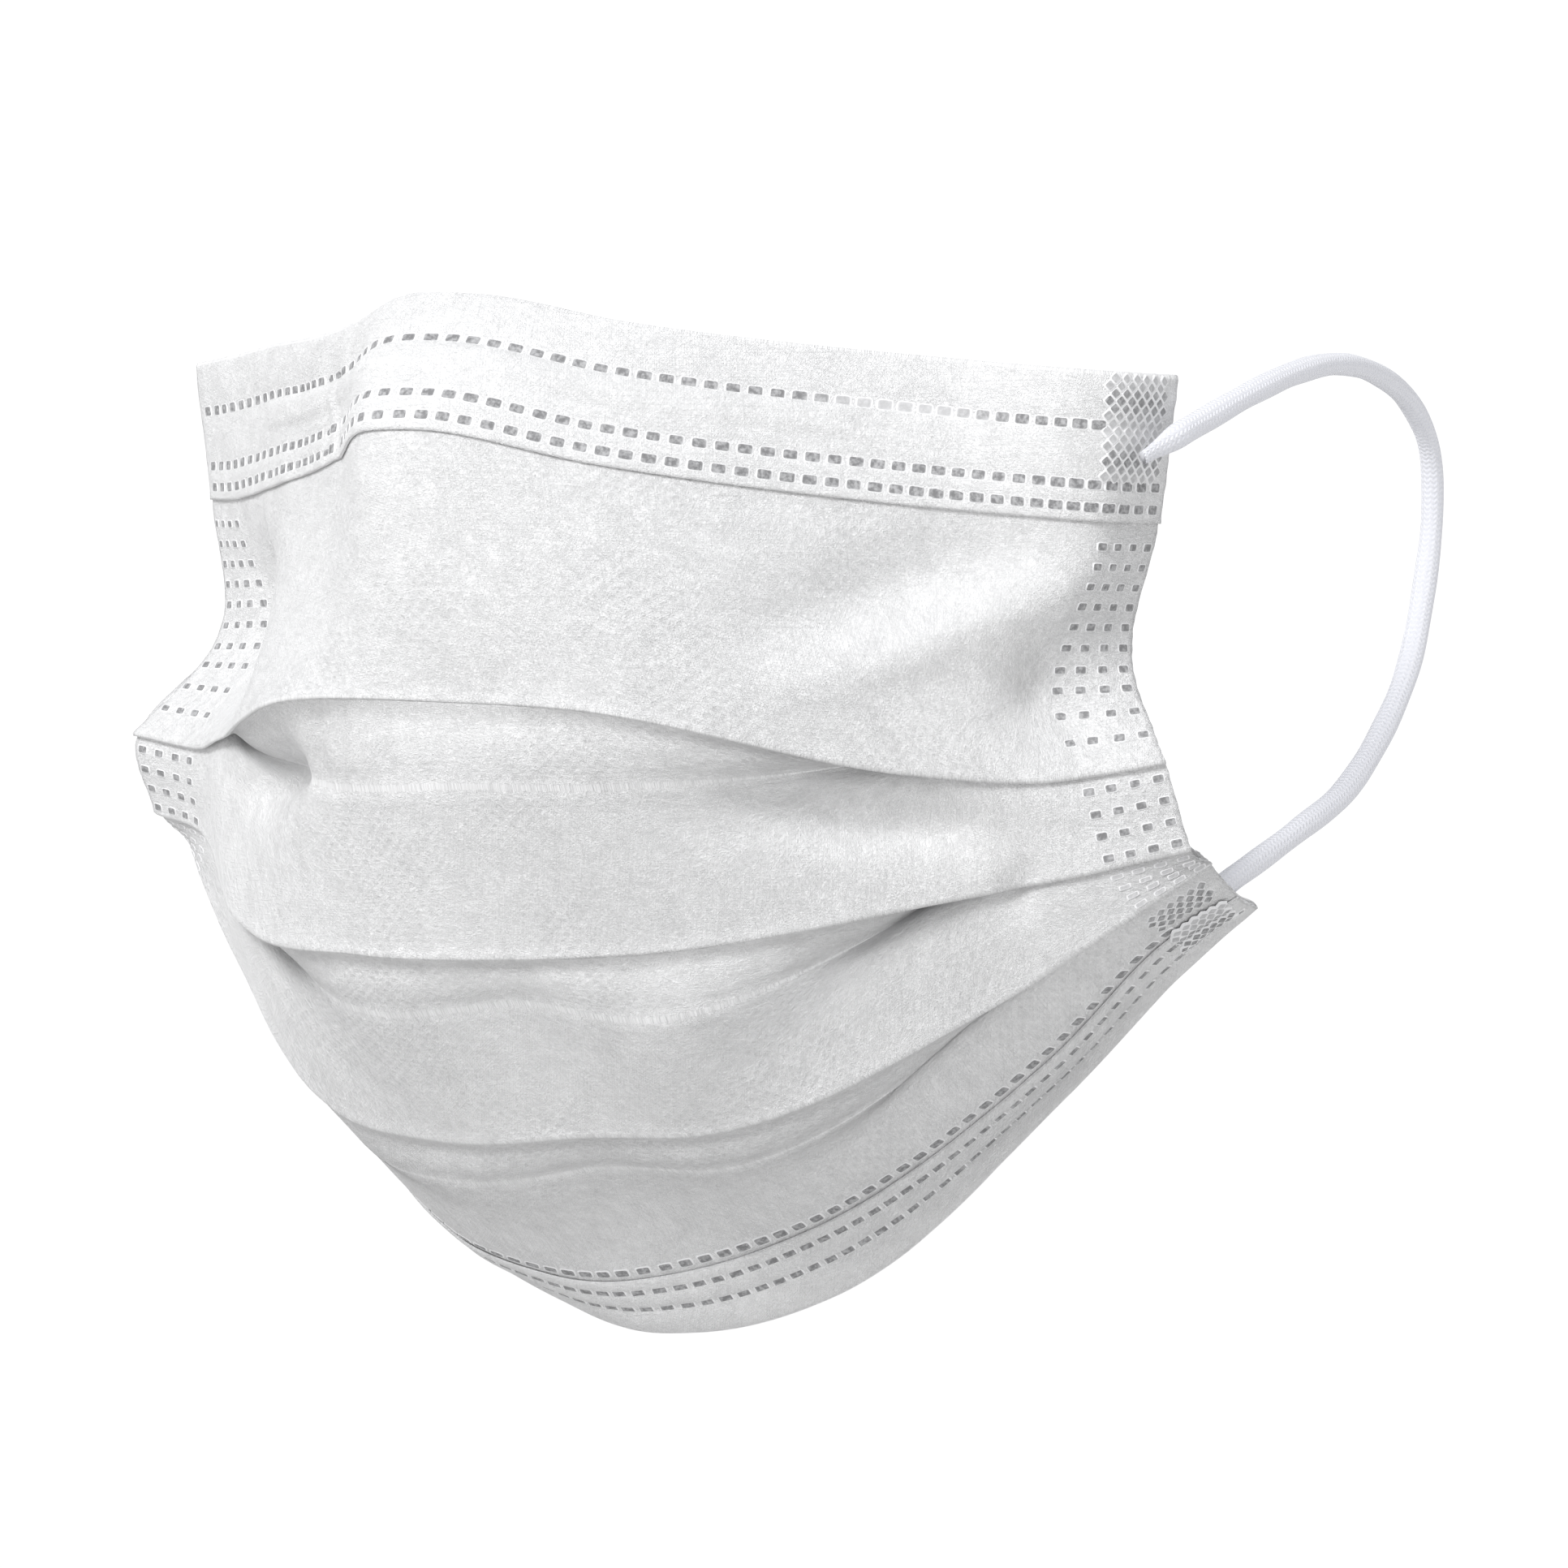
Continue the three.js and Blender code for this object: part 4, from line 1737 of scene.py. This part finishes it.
        mark = build.node("GeometryNodeObjectInfo", {}, {"Object": given.outputs["Mark"]})
        copies = build.node(
            "GeometryNodeInstanceOnPoints",
            {},
            {
                "Points": given.outputs["Geometry"],
                "Instance": mark.outputs["Geometry"],
                "Rotation": turn.outputs[0],
                "Scale": scale.outputs[0],
            },
        )
        real = build.node("GeometryNodeRealizeInstances", {}, {0: copies.outputs[0]})
        finished = build.node(
            "GeometryNodeSetMaterial",
            {},
            {"Geometry": real.outputs[0], "Material": given.outputs["Finish"]},
        )
        build.node("NodeGroupOutput", {}, {0: finished.outputs[0]})
        return tree

    def build(self, material: bpy.types.Material) -> bpy.types.Object:
        """The marks as one plain mesh that rides with the cloth.

        Args:
            material: The marks' finish.

        Returns:
            The marks.
        """
        seeds, mark, tree = self.seeds(), self.mark(), self.tree()
        marks = grown(
            seeds,
            tree,
            {"Mark": mark, "Jitter": self.jitter, "Seed": self.seed, "Finish": material},
        )
        bpy.data.objects.remove(mark)
        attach(marks, "root")
        LOG.info("%s: %d faces", marks.name, len(marks.data.polygons))
        return marks


def grown(
    seeds: bpy.types.Object, tree: bpy.types.NodeTree, values: dict[str, object]
) -> bpy.types.Object:
    """Runs a geometry tree on an object and keeps the result as its plain mesh.

    Args:
        seeds: The object that the tree grows from.
        tree: The geometry tree.
        values: The tree's inputs, by name.

    Returns:
        The same object, with the grown mesh and no modifier.
    """
    modifier = seeds.modifiers.new("grow", "NODES")
    modifier.node_group = tree
    for item in tree.interface.items_tree:
        if item.item_type == "SOCKET" and item.in_out == "INPUT" and item.name in values:
            modifier[item.identifier] = values[item.name]
    bpy.context.view_layer.update()
    evaluated = seeds.evaluated_get(bpy.context.evaluated_depsgraph_get())
    mesh = bpy.data.meshes.new_from_object(evaluated)
    seeds.modifiers.clear()
    seeds.data = mesh
    return seeds


# ---------------------------------------------------------------- studio


def towards(turn: float, lift: float) -> Vector:
    """The direction turned from the front to the right and lifted, both in degrees."""
    a, e = math.radians(turn), math.radians(lift)
    return Vector((math.sin(a) * math.cos(e), -math.cos(a) * math.cos(e), math.sin(e)))


@dataclass(frozen=True)
class SoftLight:
    """A square area light: turned from the camera and lifted in degrees, its sizes in metres."""

    name: str
    turn: float
    lift: float
    far: float
    size: float
    power: float


@dataclass
class Studio:
    """A pale floor that rises all round, soft lights and the camera."""

    azimuth: float = 30.0
    elevation: float = 3.4
    distance: float = 1000.0
    lens: float = 186.0
    aim_right: float = 38.5
    aim_up: float = -60.2
    floor: float = -230.0
    radius: float = 3200.0
    cove: float = 1500.0
    cove_steps: int = 12
    floor_sides: int = 64
    lit: tuple[float, float, float] = (10.0, 20.0, -60.0)
    sky: tuple[float, float, float] = (0.97, 0.98, 1.0)
    sky_strength: float = 0.62
    lights: tuple[SoftLight, ...] = (
        SoftLight("key", turn=-36.0, lift=37.0, far=1.5, size=0.55, power=15.9),
        SoftLight("fill", turn=26.0, lift=-16.0, far=1.9, size=1.4, power=2.4),
        SoftLight("rim", turn=150.0, lift=45.0, far=1.8, size=1.2, power=1.0),
    )

    def axes(self) -> tuple[Vector, Vector, Vector]:
        """The camera's right, up and back directions."""
        back, right = towards(self.azimuth, self.elevation), towards(self.azimuth + 90.0, 0.0)
        return right, back.cross(right), back

    def camera(self) -> bpy.types.Object:
        """The camera, at the side and a little above.

        Returns:
            The camera, as the scene's own.
        """
        right, up, back = self.axes()
        data = bpy.data.cameras.new("camera")
        data.lens, data.sensor_width = self.lens, 36.0
        data.clip_start, data.clip_end = 0.05, 20.0
        made = bpy.data.objects.new("camera", data)
        aim = right * self.aim_right + up * self.aim_up
        place = (aim + back * self.distance) * MM
        turn = Matrix((right, up, back)).transposed().to_4x4()
        made.matrix_world = Matrix.Translation(place) @ turn
        bpy.context.scene.collection.objects.link(made)
        bpy.context.scene.camera = made
        return made

    def light(self, soft: SoftLight) -> bpy.types.Object:
        """One soft square light, aimed at the mask.

        Args:
            soft: The light's place and strength.

        Returns:
            The light.
        """
        data = bpy.data.lights.new(soft.name, "AREA")
        data.shape, data.size, data.energy = "SQUARE", soft.size, soft.power
        made = bpy.data.objects.new(soft.name, data)
        way = towards(self.azimuth + soft.turn, soft.lift)
        made.location = Vector(self.lit) * MM + way * soft.far
        made.rotation_mode = "QUATERNION"
        made.rotation_quaternion = way.to_track_quat("Z", "Y")
        bpy.context.scene.collection.objects.link(made)
        return made

    def stage(self) -> bpy.types.Object:
        """The pale floor, curving up all round.

        Returns:
            The floor.
        """
        bend = np.linspace(0, math.pi / 2, self.cove_steps + 1)
        out = self.radius - self.cove + self.cove * np.sin(bend)
        up = self.floor + self.cove - self.cove * np.cos(bend)
        count = self.floor_sides
        a = 2 * math.pi * np.arange(count) / count
        ring = np.stack([np.cos(a), np.sin(a), np.zeros(count)], 1)
        points = ring[None] * out[:, None, None] + np.array([0.0, 0.0, 1.0]) * up[:, None, None]
        index = np.arange(len(bend) * count).reshape(len(bend), count)
        nxt = np.roll(index, -1, axis=1)
        corners = (index[:-1], nxt[:-1], nxt[1:], index[1:])
        faces = np.stack([corner.ravel() for corner in corners], 1).tolist()
        made = mesh_object("floor", points.reshape(-1, 3), [*faces, index[0].tolist()])
        dress(made, StageFinish().make())
        return made

    def world(self) -> None:
        """An even pale light from all round."""
        world = bpy.data.worlds.new("studio")
        world.use_nodes = True
        background = world.node_tree.nodes["Background"]
        background.inputs["Color"].default_value = (*self.sky, 1.0)
        background.inputs["Strength"].default_value = self.sky_strength
        bpy.context.scene.world = world

    def build(self) -> None:
        """Sets up the floor, the lights and their even tone."""
        self.stage()
        self.world()
        for soft in self.lights:
            self.light(soft)
        bpy.context.scene.view_settings.view_transform = "Standard"


# ---------------------------------------------------------------- the mask


@dataclass
class FaceMask:
    """The whole mask: loops, pleated body, hems and weld marks."""

    cloth: WornCloth = field(default_factory=WornCloth)

    def build_loops(self) -> list[bpy.types.Object]:
        """Both ear loops."""
        material = ElasticFinish().make()
        return [
            EarLoop(Side.RIGHT, RIGHT_ROUTE).build(material),
            EarLoop(Side.LEFT, LEFT_ROUTE).build(material),
        ]

    def build_cloth(self) -> None:
        """The pleated body, its hems and the weld marks."""
        body_finish = ClothFinish("mask_cloth", (0.925, 0.925, 0.93), (0.79, 0.79, 0.795)).make()
        hem_finish = ClothFinish(
            "hem_cloth", (0.94, 0.94, 0.945), (0.86, 0.86, 0.865), bond_share=0.0
        ).make()
        body = PleatedPanel(self.cloth)
        panel = body.build(body_finish)
        top = FoldedHem(
            cloth=self.cloth,
            name="upper_hem",
            stands_for="top_hem",
            stretch=0,
            front_edge=self.cloth.hem,
            back_edge=self.cloth.hem,
            fold=0.4,
            rows_of_welds=(6.8, 14.4, 17.3),
            wire=WirePocket(),
        )
        bottom = FoldedHem(
            cloth=self.cloth,
            name="lower_hem",
            stands_for="bottom_hem",
            stretch=6,
            front_edge=self.cloth.height - self.cloth.lower_hem,
            back_edge=self.cloth.height - self.cloth.lower_hem_back,
            fold=self.cloth.height - 0.4,
            rows_of_welds=(153.5, 157.5),
        )
        hems = [top.build(hem_finish), bottom.build(hem_finish)]
        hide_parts("nose_wire")
        marks = WeldMarks(self.cloth, top, bottom).build(WeldFinish().make())
        (body.bottom - body.top) * MM


def main() -> None:
    """Builds the studio and the mask, and logs the faces of the cloth pieces and the weld marks."""
    logging.basicConfig(level=logging.INFO, format="%(name)s: %(message)s")
    studio, mask = Studio(), FaceMask()
    studio.camera()
    mask.build_loops()
    mask.build_cloth()
    studio.build()


if __name__ == "__main__":
    main()
